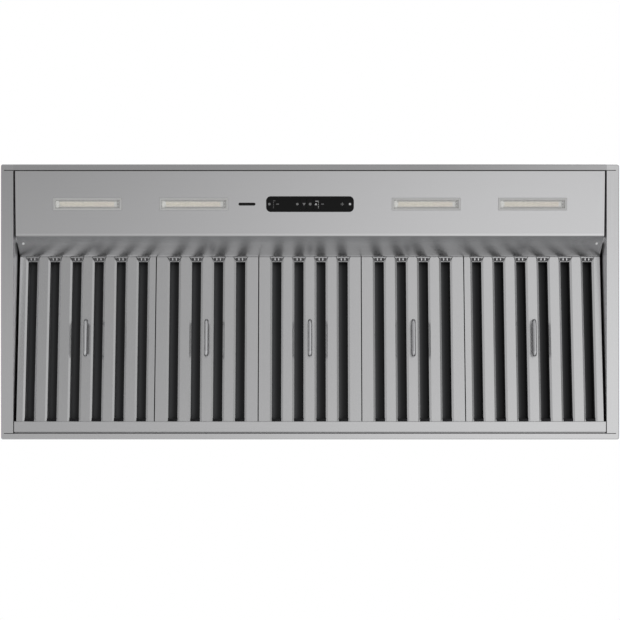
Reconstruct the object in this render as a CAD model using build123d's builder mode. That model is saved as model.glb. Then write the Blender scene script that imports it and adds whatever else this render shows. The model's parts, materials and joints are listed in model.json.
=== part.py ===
from build123d import *
from math import asin, atan2, cos, degrees, hypot, radians, sin, sqrt
import os

# A built-in range hood insert, seen from below: a folded stainless liner with a lamp and control
# panel at the front, five sloping baffle filters behind it, and two blowers with duct collars above.
# Millimetres. Origin: centre of the trim frame on its lowest face. +Z is up as installed, -Y is the
# cook's side, +X is the cook's right.

# ---------------------------------------------------------------- driving dimensions
# Sheet metal
STEEL = 1.2                 # stainless sheet of the liner
ZINC = 1.0                  # galvanised sheet of the hidden pieces
FILTER_SHEET = 1.0          # stainless sheet of the filters
TOUCH = 0.3                 # air left between pieces that only rest on each other

# Trim frame
TRIM_WIDTH = 1483.0
TRIM_DEPTH = 660.0
SIDE_RAIL = 30.0            # visible width of the side rails
LIP = 14.0                  # visible width of the front and rear lips
HEM_HEIGHT = 14.0           # height of the turned-up outer edge
HEM_BEND = 3.0
TRIM_CORNER = 5.0
SEAM_WIDTH = 1.4            # butt seams between the lips and the side rails
SEAM_DEPTH = 0.7
SEAM_STOP = 8.0             # metal left between a seam and the outer edge

# Housing
HOUSING_TOP = 305.0
WALL_FLANGE = 18.0          # inward flange under the top panel
WALL_FOOT = 8.5             # outward foot on the trim frame
CORNER_NOTCH = 1.0
BEAD_LENGTH = 460.0         # stiffening beads pressed up in the top panel
BEAD_WIDTH = 14.0
BEAD_HEIGHT = 4.0
BEAD_SLANT = 25.0           # slant of a bead's flanks, from upright
BEAD_PITCH = 110.0
BEAD_INSET = 50.0           # outer beads, from the side walls
WALL_SCREW_RADIUS = 2.75
WALL_SCREW_SPACING_Y = 440.0
WALL_SCREW_SPACING_Z = 90.0
WALL_SCREW_HEIGHT = 215.0

# Lamp and control panel
PANEL_SIDE_GAP = 4.4
PANEL_FRONT_GAP = 1.4
PANEL_DEPTH = 156.0         # light face, front edge to bend
PANEL_FRONT_Z = 0.8
PANEL_REAR_Z = 10.0
PANEL_FRONT_BEND = 1.6
PANEL_BEND = 6.0            # between the light face and the rise face
NOSE_BEND = 3.0             # at the top of the rise face
PANEL_UPTURN = 16.0
RISE_RUN = 49.3             # horizontal depth of the rise face, to its nose
SHELF_LIP = 30.0            # lip folded forward at the top of the rise face
RISE_TAPER = 2.0            # how much narrower the rise face is at its top, each side
PANEL_SCREW_INSET = 19.0    # panel screws, from the side walls
PANEL_SCREW_UP = 25.0       # panel screws, up the rise face
PANEL_SCREW_RADIUS = 2.1
PANEL_SCREW_HEAD = 3.2
LUG_WIDTH = 18.0
LUG_THICKNESS = 3.0
LUG_STEP = 14.0             # how far the lug stands back from the sheet at the wall
LUG_STEP_IN = 8.0           # where it steps back, from the wall

# Filters
FILTER_OVERHANG = 14.0      # part of the filter that lies on the rear ledge
FILTER_HEIGHT = 38.0
FILTER_FLANGE = 9.0
FILTER_FRONT_LEAN = 3.0
FILTER_FRONT_LIP = 4.0      # edge of the face in front of the front wall
FILTER_NOSE_GAP = 0.4       # between that edge and the nose of the rise face
FILTER_GAP = 2.4            # between neighbouring filters
FILTER_WALL_GAP = 6.0       # between the outer filters and the side walls
HINGE_SETBACK = 30.0        # line that the filters tilt on, in front of the rear wall
HINGE_Z = 8.0
FRONT_RISE = 50.4           # how much higher the filters' front edge is than the hinge line
SLOT_MOUTH = 32.0           # slot width at the filter's face
SLOT_THROAT = 22.4          # slot width above its flared sides
SLOT_FLARE_HEIGHT = 3.2
SLOT_NECK_HEIGHT = 18.0     # top of the upright neck round each slot
SLOT_END_FLARE = 9.6
SLOT_FRONT_EDGE = 1.8
SLOT_REAR_OVER = 4.0        # how far the slot mouth runs past the hinge line
SLOT_COUNTS = (6, 4, 4, 4, 6)
WIDE_MARGIN = 12.1          # how much wider each end margin of a four-slot filter is
EDGE_MARGIN = 30.75         # filter edge to first slot centre on a six-slot filter
BAFFLE_BOTTOM = 12.0
BAFFLE_FOOT = 36.0          # width of an upper baffle at its open side
BAFFLE_CROWN = 31.0

# Filter handles
HANDLE_CENTRES = 82.5
HANDLE_ROD = 9.5
HANDLE_STANDOFF = 22.0      # filter face to rod centre
HANDLE_BEND = 9.0
HANDLE_SCREW = 2.4
HANDLE_SCREW_HEAD = 4.4
HANDLE_SCREW_DEPTH = 10.0

# Catch springs at the filters' front edges
CATCH_OFFSET = 60.0
CATCH_WIDTH = 18.0
CATCH_SHEET = 0.8
CATCH_BEND = 1.2
CATCH_FOOT = 12.0
CATCH_WINDOW_WIDTH = 24.0
CATCH_WINDOW_HEIGHT = 11.0
CATCH_HEIGHT = 16.0         # window centre above the filter's face
CATCH_BITE = 1.6            # how far the nose enters the window

# Rear ledge
LEDGE_SETBACK = 0.5         # ledge edge behind the hinge line
LEDGE_Z = 0.8
LEDGE_HEM = 15.0
LEDGE_BEND = 1.6
LEDGE_UPTURN = 44.0
LEDGE_END_GAP = 2.0
LEDGE_GROOVE_WIDTH = 3.6    # shadow groove between the ledge and the rear lip
LEDGE_GROOVE_DEPTH = 7.0

# Lamps
LAMP_LINE = 80.0            # lamp and control centre line, from the panel's front edge
LAMP_INNER_X = 278.9        # inner lamps, from the middle
LAMP_INSET = 177.2          # outer lamps, from the side walls
LAMP_LENGTH = 164.0
LAMP_WIDTH = 28.8
LAMP_RIM = 2.6
LAMP_RIM_THICKNESS = 0.8
LAMP_HEIGHT = 10.0
LAMP_WALL = 1.6
LENS_THICKNESS = 2.0
LENS_RECESS = 2.6
LED_BOARD_LENGTH = 146.4
LED_BOARD_SHIFT = 4.2       # strip and end blocks, to the left of the lamp's middle
LED_BOARD_WIDTH = 12.0
LED_BOARD_THICKNESS = 1.6
LED_BLOCK_LENGTH = 8.5
LED_BLOCK_HEIGHT = 3.0

# Sensor window
SENSOR_X = -151.3
SENSOR_LENGTH = 40.7
SENSOR_WIDTH = 6.7
SENSOR_FLANGE = 3.0

# Controls
FASCIA_LENGTH = 210.5
FASCIA_WIDTH = 37.6
FASCIA_CORNER = 11.0
FASCIA_DEPTH = 4.0
FASCIA_PLATE = 2.0
FASCIA_RIM = 2.4
GROOVE_LENGTH = 52.0
GROOVE_WIDTH = 16.0
GROOVE_DEPTH = 0.6
GROOVE_X = 53.0
BUTTON_HEIGHT = 27.0
BUTTON_PROUD = 0.6
BUTTON_TRAVEL = 1.2
BUTTON_SLACK = 0.35
BUTTON_FLANGE = 1.0
BUTTON_LIP = 1.2            # how far the flange reaches past the window
BUTTON_CORNER = 2.5
BUTTON_STEM = 3.0
BUTTON_PITCH = 15.6
END_BUTTON_X = 90.0
BUTTON_WIDTH = 14.0
END_BUTTON_WIDTH = 17.0
BOARD_HEIGHT = 9.0          # switch board above the light face
BOARD_LENGTH = 194.0
BOARD_WIDTH = 24.0
BOARD_THICKNESS = 1.6
SWITCH_SIZE = 6.0
SWITCH_HEIGHT = 2.0
POST_X = 53.0
POST_RADIUS = 3.0

# Driver box on the compartment cover
DRIVER_LENGTH = 210.0
DRIVER_WIDTH = 80.0
DRIVER_HEIGHT = 30.0
DRIVER_EAR = 12.0
COVER_UPTURN = 18.0
COVER_END_GAP = 4.0

# Blowers
BLOWER_INSET = 381.5        # blower centres, from the side walls
DUCT_Y = 60.0
BLOWER_Z = 200.0
WHEEL_RADIUS = 75.0
WHEEL_EYE = 62.0            # inner radius of the blades
WHEEL_LENGTH = 140.0
WHEEL_RING = 1.5
BLADE_COUNT = 36
BLADE_SWEEP = 9.0           # degrees between a blade's root and tip
BLADE_SPREAD = 0.95         # degrees of blade thickness
BLADE_CURVE = 12.0
HUB_RADIUS = 12.0
HUB_LENGTH = 24.0
SCROLL_WIDTH = 160.0
SCROLL_LAST_RADIUS = 110.5
SCROLL_STEP = 9.0           # how much the scroll's radius falls each quarter turn
SCROLL_THROAT = 100.0
SCROLL_FLANGE = 12.0
INLET_RADIUS = 62.0
INLET_CURL = 7.0
SHAFT_RADIUS = 4.0
SHAFT_PLAY = 0.05
SHAFT_END = 6.0
MOTOR_RADIUS = 42.0
MOTOR_LENGTH = 76.0
MOTOR_CAP = 8.0
MOTOR_CAP_INSET = 4.0
MOTOR_TO_DISC = 16.0
SPIDER_THICKNESS = 2.0
SPIDER_BAND = 8.0
SPIDER_ARM = 12.0
SPIDER_REACH = 80.0

# Duct collars and dampers
COLLAR_RADIUS = 101.5
COLLAR_SHEET = 1.2
COLLAR_TOP = 362.0
COLLAR_FLANGE = 20.0
STOP_DEPTH = 3.2
TOP_HOLE_RADIUS = 97.0
SPINDLE_Z = 330.0
SPINDLE_RADIUS = 2.0
SPINDLE_PLAY = 0.06
FLAP_SHEET = 1.0
FLAP_EDGE_GAP = 1.0
FLAP_ROOT = 5.2             # flap's straight edge, from the spindle's axis
KNUCKLE_RADIUS = 4.2
KNUCKLE_LENGTH = 24.0
KNUCKLE_PLACES = (20.0, 70.0)

# Junction box
JUNCTION_SIDE_INSET = 151.5
JUNCTION_REAR_INSET = 126.0
JUNCTION_LENGTH = 110.0
JUNCTION_WIDTH = 76.0
JUNCTION_HEIGHT = 42.0
JUNCTION_RADIUS = 11.1
COVER_LIP = 8.0

# ---------------------------------------------------------------- derived places
open_x = TRIM_WIDTH / 2 - SIDE_RAIL
open_y = TRIM_DEPTH / 2 - LIP

# The rise face climbs to a round nose that stands just above the filters' front edge. The fold's
# own corner is the point (crest_y, crest_z), behind that nose.
panel_front_y = -open_y + PANEL_FRONT_GAP
panel_bend_y = panel_front_y + PANEL_DEPTH
panel_half = open_x - PANEL_SIDE_GAP
fascia_inner_length = FASCIA_LENGTH - 2 * FASCIA_RIM
fascia_inner_width = FASCIA_WIDTH - 2 * FASCIA_RIM
fascia_inner_corner = FASCIA_CORNER - FASCIA_RIM
panel_tilt = degrees(atan2(PANEL_REAR_Z - PANEL_FRONT_Z, PANEL_DEPTH))
filter_front_z = HINGE_Z + FRONT_RISE
filter_front_y = panel_bend_y + RISE_RUN
nose_drop = sqrt((NOSE_BEND + FILTER_NOSE_GAP)**2 - NOSE_BEND**2)
nose_center_z = filter_front_z + FILTER_SHEET + nose_drop
crest_z = nose_center_z + NOSE_BEND
rise_sight = atan2(nose_center_z - PANEL_REAR_Z, RISE_RUN - NOSE_BEND)
rise_angle = rise_sight - asin(NOSE_BEND / hypot(RISE_RUN - NOSE_BEND, nose_center_z - PANEL_REAR_Z))
rise_length = (crest_z - PANEL_REAR_Z) / sin(rise_angle)
crest_y = panel_bend_y + rise_length * cos(rise_angle)

# The filters' plane tilts about the hinge line and rises to the front.
hinge_y = open_y - HINGE_SETBACK
filter_length = hypot(hinge_y - filter_front_y, FRONT_RISE)
slope_cos = (hinge_y - filter_front_y) / filter_length
slope_sin = FRONT_RISE / filter_length

# The filters fill the opening from wall to wall, with their slots evenly spaced.
slot_margins = [EDGE_MARGIN + (WIDE_MARGIN if count < max(SLOT_COUNTS) else 0) for count in SLOT_COUNTS]
row_width = 2 * (open_x - FILTER_WALL_GAP)
slots_width = row_width - FILTER_GAP * (len(SLOT_COUNTS) - 1) - 2 * sum(slot_margins)
slot_pitch = slots_width / (sum(SLOT_COUNTS) - len(SLOT_COUNTS))

lamp_outer_x = open_x - LAMP_INSET
lamp_places = (-lamp_outer_x, -LAMP_INNER_X, LAMP_INNER_X, lamp_outer_x)
driver_x = (LAMP_INNER_X + lamp_outer_x) / 2
blower_x = open_x - BLOWER_INSET
junction_x = JUNCTION_SIDE_INSET - open_x
junction_y = open_y - JUNCTION_REAR_INSET

scroll_y = DUCT_Y - SCROLL_STEP / 2 - SCROLL_LAST_RADIUS + SCROLL_THROAT / 2
throat_edge = SCROLL_STEP / 2 + SCROLL_LAST_RADIUS - SCROLL_THROAT
collar_base = HOUSING_TOP + ZINC
flap_radius = COLLAR_RADIUS - COLLAR_SHEET - FLAP_EDGE_GAP


def tilted(x, y, z, direction_y, direction_z):
    """Plane through a point whose local y runs along (0, direction_y, direction_z)."""
    normal = (0, -direction_z, direction_y)
    return Plane(origin=(x, y, z), x_dir=(1, 0, 0), z_dir=normal)


# Local y runs rearwards on each of these, and local z points up into the housing.
light_plane = tilted(0, panel_front_y, PANEL_FRONT_Z, cos(radians(panel_tilt)), sin(radians(panel_tilt)))
rise_plane = tilted(0, panel_bend_y, PANEL_REAR_Z, cos(rise_angle), sin(rise_angle))
hinge_plane = tilted(0, hinge_y, HINGE_Z, slope_cos, -slope_sin)

os.makedirs("parts", exist_ok=True)


def save(piece, node):
    """Label a finished piece and write it under its node's name."""
    piece.label = node
    export_step(piece, f"parts/{node}.step")


def folded_sheet(points, bends, gauge, inward):
    """Section of a folded sheet whose outer face follows the points, with one bend radius a corner.

    Its thickness lies to the left of the points where inward is 1, and to their right where it is -1.
    """
    corners = [Vector(*point) for point in points]
    runs = [(end - start).normalized() for start, end in zip(corners, corners[1:])]
    normals = [Vector(-run.Y, run.X) * inward for run in runs]
    inner = [corners[0] + normals[0] * gauge]
    inner_bends = []
    for corner, bend, before, after in zip(corners[1:], bends, normals, normals[1:]):
        mitre = before + after
        inner.append(corner + mitre * (2 * gauge / mitre.length**2))
        turns_inward = before.cross(after).Z * inward > 0
        inner_bends.append(bend - gauge if turns_inward else bend + gauge)
    inner.append(corners[-1] + normals[-1] * gauge)
    with BuildSketch(Plane.XY, mode=Mode.PRIVATE) as section:
        with BuildLine():
            outer_face = FilletPolyline(*corners, radius=bends)
            inner_face = FilletPolyline(*inner, radius=inner_bends)
            Line(outer_face @ 0, inner_face @ 0)
            Line(outer_face @ 1, inner_face @ 1)
        make_face()
    return section.sketch


# ---------------------------------------------------------------- trim frame
with BuildPart() as trim_frame:
    with BuildSketch():
        RectangleRounded(TRIM_WIDTH, TRIM_DEPTH, TRIM_CORNER)
    extrude(amount=HEM_HEIGHT)
    fillet(trim_frame.faces().sort_by(Axis.Z)[0].edges(), HEM_BEND)
    with BuildSketch(Plane.XY.offset(STEEL)):
        RectangleRounded(TRIM_WIDTH - 2 * STEEL, TRIM_DEPTH - 2 * STEEL, TRIM_CORNER - STEEL)
    extrude(amount=HEM_HEIGHT, mode=Mode.SUBTRACT)
    fillet(trim_frame.edges().filter_by_position(Axis.Z, STEEL, STEEL), HEM_BEND - STEEL)
    with BuildSketch():
        Rectangle(2 * open_x, 2 * open_y)
    extrude(amount=HEM_HEIGHT, mode=Mode.SUBTRACT)
    seam_length = SIDE_RAIL - SEAM_STOP
    seam_x = open_x + seam_length / 2
    seam_y = open_y - SEAM_WIDTH / 2
    with BuildSketch():
        with GridLocations(2 * seam_x, 2 * seam_y, 2, 2):
            Rectangle(seam_length, SEAM_WIDTH)
    extrude(amount=SEAM_DEPTH, mode=Mode.SUBTRACT)
save(trim_frame.part, "trim_frame")

# ---------------------------------------------------------------- housing walls
WALL_OUTLINE = [
    (0, STEEL),
    (STEEL + WALL_FOOT, STEEL),
    (STEEL + WALL_FOOT, 2 * STEEL),
    (STEEL, 2 * STEEL),
    (STEEL, HOUSING_TOP),
    (-WALL_FLANGE, HOUSING_TOP),
    (-WALL_FLANGE, HOUSING_TOP - STEEL),
    (0, HOUSING_TOP - STEEL),
]


def make_side_wall(node, side):
    """Side wall with its foot, its top flange, four cabinet screw holes and the panel's screw lug."""
    wall_plane = Plane(origin=(side * open_x, 0, 0), x_dir=(side, 0, 0), z_dir=(0, -side, 0))
    with BuildPart() as wall:
        with BuildSketch(wall_plane):
            Polygon(*WALL_OUTLINE, align=None)
        extrude(amount=open_y + STEEL, both=True)
        screw_plane = Plane(origin=(side * open_x, 0, WALL_SCREW_HEIGHT), x_dir=(0, 1, 0), z_dir=(side, 0, 0))
        with BuildSketch(screw_plane):
            with GridLocations(WALL_SCREW_SPACING_Y, WALL_SCREW_SPACING_Z, 2, 2):
                Circle(WALL_SCREW_RADIUS)
        extrude(amount=STEEL, mode=Mode.SUBTRACT)
        # The lug stands back from the sheet at the wall and steps up to it under the screw.
        lug_reach = PANEL_SCREW_INSET + LUG_WIDTH / 2
        step_x = side * (open_x - LUG_STEP_IN - LUG_THICKNESS / 2)
        with BuildSketch(rise_plane.offset(STEEL + LUG_STEP)):
            with Locations((side * (open_x - LUG_STEP_IN / 2), PANEL_SCREW_UP)):
                Rectangle(LUG_STEP_IN, LUG_WIDTH)
        extrude(amount=-LUG_THICKNESS)
        with BuildSketch(rise_plane.offset(STEEL)):
            with Locations((step_x, PANEL_SCREW_UP)):
                Rectangle(LUG_THICKNESS, LUG_WIDTH)
        extrude(amount=LUG_STEP)
        with BuildSketch(rise_plane.offset(STEEL)):
            with Locations((side * (open_x - (LUG_STEP_IN + lug_reach) / 2), PANEL_SCREW_UP)):
                Rectangle(lug_reach - LUG_STEP_IN, LUG_WIDTH)
            with Locations((side * (open_x - PANEL_SCREW_INSET), PANEL_SCREW_UP)):
                Circle(PANEL_SCREW_RADIUS, mode=Mode.SUBTRACT)
        extrude(amount=LUG_THICKNESS)
    save(wall.part, node)


def make_end_wall(node, side):
    """Front or rear wall, notched at its ends where the side walls' flanges pass."""
    wall_plane = Plane(origin=(0, side * open_y, 0), x_dir=(0, side, 0), z_dir=(side, 0, 0))
    flange_end = open_x - WALL_FLANGE - CORNER_NOTCH
    with BuildPart() as wall:
        with BuildSketch(wall_plane):
            Polygon(*WALL_OUTLINE, align=None)
        extrude(amount=open_x, both=True)
        notch_x = (open_x + flange_end) / 2
        notch_y = side * (open_y + STEEL / 2 - WALL_FLANGE / 2)
        with BuildSketch(Plane.XY.offset(HOUSING_TOP - STEEL)):
            with Locations((-notch_x, notch_y), (notch_x, notch_y)):
                Rectangle(open_x - flange_end, WALL_FLANGE + STEEL)
        extrude(amount=STEEL, mode=Mode.SUBTRACT)
    save(wall.part, node)


make_side_wall("left_wall", -1)
make_side_wall("right_wall", 1)
make_end_wall("front_wall", -1)
make_end_wall("rear_wall", 1)

with BuildPart() as top_panel:
    with BuildSketch(Plane.XY.offset(HOUSING_TOP)):
        Rectangle(2 * (open_x + STEEL), 2 * (open_y + STEEL))
        with Locations((-blower_x, DUCT_Y), (blower_x, DUCT_Y)):
            Circle(TOP_HOLE_RADIUS, mode=Mode.SUBTRACT)
        with Locations((junction_x, junction_y)):
            Circle(JUNCTION_RADIUS, mode=Mode.SUBTRACT)
    extrude(amount=ZINC)
    outer_bead = open_x - BEAD_INSET
    bead_places = (-outer_bead, -BEAD_PITCH, 0, BEAD_PITCH, outer_bead - BEAD_PITCH, outer_bead)
    for start, inset, how in ((HOUSING_TOP + ZINC, 0, Mode.ADD), (HOUSING_TOP, ZINC, Mode.SUBTRACT)):
        with BuildSketch(Plane.XY.offset(start)):
            with Locations(*[(x, 0) for x in bead_places]):
                SlotOverall(BEAD_LENGTH - 2 * inset, BEAD_WIDTH - 2 * inset, rotation=90)
        extrude(amount=BEAD_HEIGHT, taper=BEAD_SLANT, mode=how)
save(top_panel.part, "top_panel")

# ---------------------------------------------------------------- lamp and control panel
panel_points = [
    (panel_front_y, PANEL_UPTURN),
    (panel_front_y, PANEL_FRONT_Z),
    (panel_bend_y, PANEL_REAR_Z),
    (crest_y, crest_z),
    (crest_y - SHELF_LIP, crest_z),
]
with BuildPart() as light_panel:
    with BuildSketch(Plane.YZ):
        add(folded_sheet(panel_points, [PANEL_FRONT_BEND, PANEL_BEND, NOSE_BEND], STEEL, 1))
    extrude(amount=panel_half, both=True)
    with BuildSketch(rise_plane.offset(-LUG_WIDTH)):
        for side in (-1, 1):
            with BuildLine():
                Polyline(
                    (side * panel_half, 0),
                    (side * (panel_half - RISE_TAPER), rise_length),
                    (side * (panel_half - RISE_TAPER), rise_length + SHELF_LIP),
                    (side * (panel_half + RISE_TAPER), rise_length + SHELF_LIP),
                    (side * (panel_half + RISE_TAPER), 0),
                    close=True,
                )
            make_face()
    extrude(amount=LUG_WIDTH + SHELF_LIP, mode=Mode.SUBTRACT)
    with BuildSketch(light_plane):
        with Locations(*[(x, LAMP_LINE) for x in lamp_places]):
            Rectangle(LAMP_LENGTH - 2 * LAMP_RIM + TOUCH, LAMP_WIDTH - 2 * LAMP_RIM + TOUCH)
        with Locations((0, LAMP_LINE)):
            RectangleRounded(fascia_inner_length, fascia_inner_width, fascia_inner_corner)
        with Locations((SENSOR_X, LAMP_LINE)):
            SlotOverall(SENSOR_LENGTH + TOUCH, SENSOR_WIDTH + TOUCH)
    extrude(amount=STEEL, both=True, mode=Mode.SUBTRACT)
    with BuildSketch(rise_plane):
        screw_x = open_x - PANEL_SCREW_INSET
        with Locations((-screw_x, PANEL_SCREW_UP), (screw_x, PANEL_SCREW_UP)):
            Circle(PANEL_SCREW_RADIUS + TOUCH)
    extrude(amount=STEEL, both=True, mode=Mode.SUBTRACT)
save(light_panel.part, "light_panel")

with BuildPart() as panel_screws:
    with BuildSketch(rise_plane):
        with Locations((-screw_x, PANEL_SCREW_UP), (screw_x, PANEL_SCREW_UP)):
            Circle(PANEL_SCREW_HEAD)
    extrude(amount=-PANEL_SCREW_RADIUS)
    fillet(panel_screws.faces().group_by(Axis(rise_plane.origin, rise_plane.z_dir))[0].edges(), 1.0)
    with BuildSketch(rise_plane):
        with Locations((-screw_x, PANEL_SCREW_UP), (screw_x, PANEL_SCREW_UP)):
            Circle(PANEL_SCREW_RADIUS)
    extrude(amount=STEEL + 2 * LUG_THICKNESS)
save(panel_screws.part, "panel_screws")

cover_points = [
    (-open_y, crest_z + COVER_UPTURN),
    (-open_y, crest_z),
    (filter_front_y - 2 * NOSE_BEND, crest_z),
]
with BuildPart() as compartment_cover:
    with BuildSketch(Plane.YZ):
        add(folded_sheet(cover_points, [NOSE_BEND], ZINC, 1))
    extrude(amount=open_x - COVER_END_GAP, both=True)
save(compartment_cover.part, "compartment_cover")

# ---------------------------------------------------------------- rear ledge
ledge_y = hinge_y + LEDGE_SETBACK
ledge_top = HINGE_Z - TOUCH - LEDGE_SETBACK * slope_sin / slope_cos
ledge_points = [
    (open_y, LEDGE_Z + LEDGE_UPTURN),
    (open_y, LEDGE_Z + LEDGE_GROOVE_DEPTH),
    (open_y - LEDGE_GROOVE_WIDTH, LEDGE_Z + LEDGE_GROOVE_DEPTH),
    (open_y - LEDGE_GROOVE_WIDTH, LEDGE_Z),
    (ledge_y, LEDGE_Z),
    (ledge_y, ledge_top),
    (ledge_y + LEDGE_HEM, ledge_top - LEDGE_HEM * slope_sin / slope_cos),
]
with BuildPart() as rear_ledge:
    with BuildSketch(Plane.YZ):
        add(folded_sheet(ledge_points, [LEDGE_BEND] * (len(ledge_points) - 2), STEEL, -1))
    extrude(amount=open_x - LEDGE_END_GAP, both=True)
save(rear_ledge.part, "rear_ledge")


# ---------------------------------------------------------------- filters
def filter_width(slot_count):
    """Overall width of a filter with this many slots."""
    return (slot_count - 1) * slot_pitch + 2 * slot_margins[SLOT_COUNTS.index(slot_count)]


def side_plane(x):
    """Plane across the filters at x: local x runs rearwards along the filter, local y up off its face."""
    return Plane(origin=(x, hinge_y, HINGE_Z), x_dir=(0, slope_cos, -slope_sin), z_dir=(1, 0, 0))


def slot_places(centre, slot_count):
    """X of each slot of a filter."""
    return [centre + (i - (slot_count - 1) / 2) * slot_pitch for i in range(slot_count)]


mouth_length = filter_length - SLOT_FRONT_EDGE + SLOT_REAR_OVER
mouth_y = (SLOT_REAR_OVER - filter_length + SLOT_FRONT_EDGE) / 2
throat_length = mouth_length - 2 * SLOT_END_FLARE
filter_wall_base = -filter_length + FILTER_FRONT_LIP
filter_profile = [
    (filter_wall_base, 0),
    (filter_wall_base + FILTER_FRONT_LEAN, FILTER_HEIGHT),
    (FILTER_OVERHANG, FILTER_HEIGHT),
    (FILTER_OVERHANG, 0),
]
handle_y = -filter_length / 2


def make_filter_pan(node, centre, slot_count):
    """Pressed pan of a filter: flats between flared slots, walls all round and a top flange."""
    width = filter_width(slot_count)
    slots = slot_places(centre, slot_count)
    with BuildPart() as pan:
        with BuildSketch(side_plane(centre)):
            Polygon(*filter_profile, align=None)
        extrude(amount=width / 2, both=True)
        with BuildSketch(side_plane(centre)):
            Polygon(*filter_profile, align=None)
            offset(amount=-FILTER_SHEET, kind=Kind.INTERSECTION)
        extrude(amount=width / 2 - FILTER_SHEET, both=True, mode=Mode.SUBTRACT)
        with BuildSketch(hinge_plane):
            with Locations((centre, filter_wall_base - FILTER_FRONT_LIP / 2 + FILTER_SHEET / 2)):
                Rectangle(width, FILTER_FRONT_LIP + FILTER_SHEET)
        extrude(amount=FILTER_SHEET)
        window_front = filter_wall_base + FILTER_FRONT_LEAN + FILTER_FLANGE
        window_rear = FILTER_OVERHANG - FILTER_FLANGE
        with BuildSketch(hinge_plane.offset(FILTER_HEIGHT - FILTER_SHEET)):
            with Locations((centre, (window_front + window_rear) / 2)):
                Rectangle(width - 2 * FILTER_FLANGE, window_rear - window_front)
        extrude(amount=FILTER_SHEET, mode=Mode.SUBTRACT)
        # Flared slots: round each slot the sheet dips in from the face and turns up into a neck.
        for grow, how in ((2 * FILTER_SHEET, Mode.ADD), (0, Mode.SUBTRACT)):
            flare_top = SLOT_FLARE_HEIGHT + grow / 2
            for x in slots:
                with BuildSketch(hinge_plane):
                    with Locations((x, mouth_y)):
                        Rectangle(SLOT_MOUTH + grow, mouth_length + min(grow, 2 * TOUCH))
                with BuildSketch(hinge_plane.offset(flare_top)):
                    with Locations((x, mouth_y)):
                        Rectangle(SLOT_THROAT + grow, throat_length + grow)
                loft(mode=how)
                with BuildSketch(hinge_plane.offset(flare_top)):
                    with Locations((x, mouth_y)):
                        Rectangle(SLOT_THROAT + grow, throat_length + grow)
                extrude(amount=SLOT_NECK_HEIGHT - flare_top, mode=how)
        # Windows in the front wall for the noses of the catch springs.
        window_plane = Plane(
            origin=(centre, filter_front_y, filter_front_z), x_dir=(1, 0, 0), z_dir=(0, -slope_cos, slope_sin)
        )
        with BuildSketch(window_plane):
            with Locations((-CATCH_OFFSET, CATCH_HEIGHT), (CATCH_OFFSET, CATCH_HEIGHT)):
                Rectangle(CATCH_WINDOW_WIDTH, CATCH_WINDOW_HEIGHT)
        extrude(amount=-FILTER_FRONT_LIP - 2 * FILTER_FRONT_LEAN, mode=Mode.SUBTRACT)
        # Holes for the handle's screws.
        with BuildSketch(hinge_plane):
            with Locations(*[(centre, handle_y + end * HANDLE_CENTRES / 2) for end in (-1, 1)]):
                Circle(HANDLE_SCREW + TOUCH)
        extrude(amount=FILTER_SHEET, mode=Mode.SUBTRACT)
    save(pan.part, node)


def make_filter_baffles(node, centre, slot_count):
    """Upper baffles of a filter: a channel, open downwards, over each slot."""
    crown = FILTER_HEIGHT - FILTER_SHEET
    rear_end = FILTER_OVERHANG - FILTER_SHEET
    length = rear_end - filter_wall_base - FILTER_FRONT_LEAN - FILTER_SHEET
    channel_points = [
        (-BAFFLE_FOOT / 2, BAFFLE_BOTTOM),
        (-BAFFLE_CROWN / 2, crown),
        (BAFFLE_CROWN / 2, crown),
        (BAFFLE_FOOT / 2, BAFFLE_BOTTOM),
    ]
    channel = folded_sheet(channel_points, [2 * FILTER_SHEET] * 2, FILTER_SHEET, -1)
    rear_plane = Plane(
        origin=(0, hinge_y + rear_end * slope_cos, HINGE_Z - rear_end * slope_sin),
        x_dir=(1, 0, 0),
        z_dir=(0, -slope_cos, slope_sin),
    )
    with BuildPart() as baffles:
        with BuildSketch(rear_plane):
            with Locations(*[(x, 0) for x in slot_places(centre, slot_count)]):
                add(channel)
        extrude(amount=length)
    save(baffles.part, node)


def make_filter_handle(node, centre):
    """Fixed handle of a filter: a bent rod, and the two screws that hold it from above."""
    feet = [handle_y + end * HANDLE_CENTRES / 2 for end in (-1, 1)]
    with BuildPart() as handle:
        with BuildLine(side_plane(centre)) as bend:
            FilletPolyline(
                (feet[0], 0),
                (feet[0], -HANDLE_STANDOFF),
                (feet[1], -HANDLE_STANDOFF),
                (feet[1], 0),
                radius=HANDLE_BEND,
            )
        with BuildSketch(Plane(origin=bend.line @ 0, z_dir=bend.line % 0)):
            Circle(HANDLE_ROD / 2)
        sweep()
        with BuildSketch(hinge_plane):
            with Locations(*[(centre, y) for y in feet]):
                Circle(HANDLE_SCREW)
        extrude(amount=-HANDLE_SCREW_DEPTH, mode=Mode.SUBTRACT)
    with BuildPart() as screws:
        with BuildSketch(hinge_plane.offset(-HANDLE_SCREW_DEPTH)):
            with Locations(*[(centre, y) for y in feet]):
                Circle(HANDLE_SCREW)
        extrude(amount=HANDLE_SCREW_DEPTH + FILTER_SHEET)
        with BuildSketch(hinge_plane.offset(FILTER_SHEET)):
            with Locations(*[(centre, y) for y in feet]):
                Circle(HANDLE_SCREW_HEAD)
        extrude(amount=HANDLE_SCREW)
    save(Compound(children=[*handle.part.solids(), *screws.part.solids()]), node)


filter_centres = []
edge = -row_width / 2
for slot_count in SLOT_COUNTS:
    filter_centres.append(edge + filter_width(slot_count) / 2)
    edge += filter_width(slot_count) + FILTER_GAP

for number, (centre, slot_count) in enumerate(zip(filter_centres, SLOT_COUNTS), start=1):
    make_filter_pan(f"filter_{number}_pan", centre, slot_count)
    make_filter_baffles(f"filter_{number}_baffles", centre, slot_count)
    make_filter_handle(f"filter_{number}_handle", centre)

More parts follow.
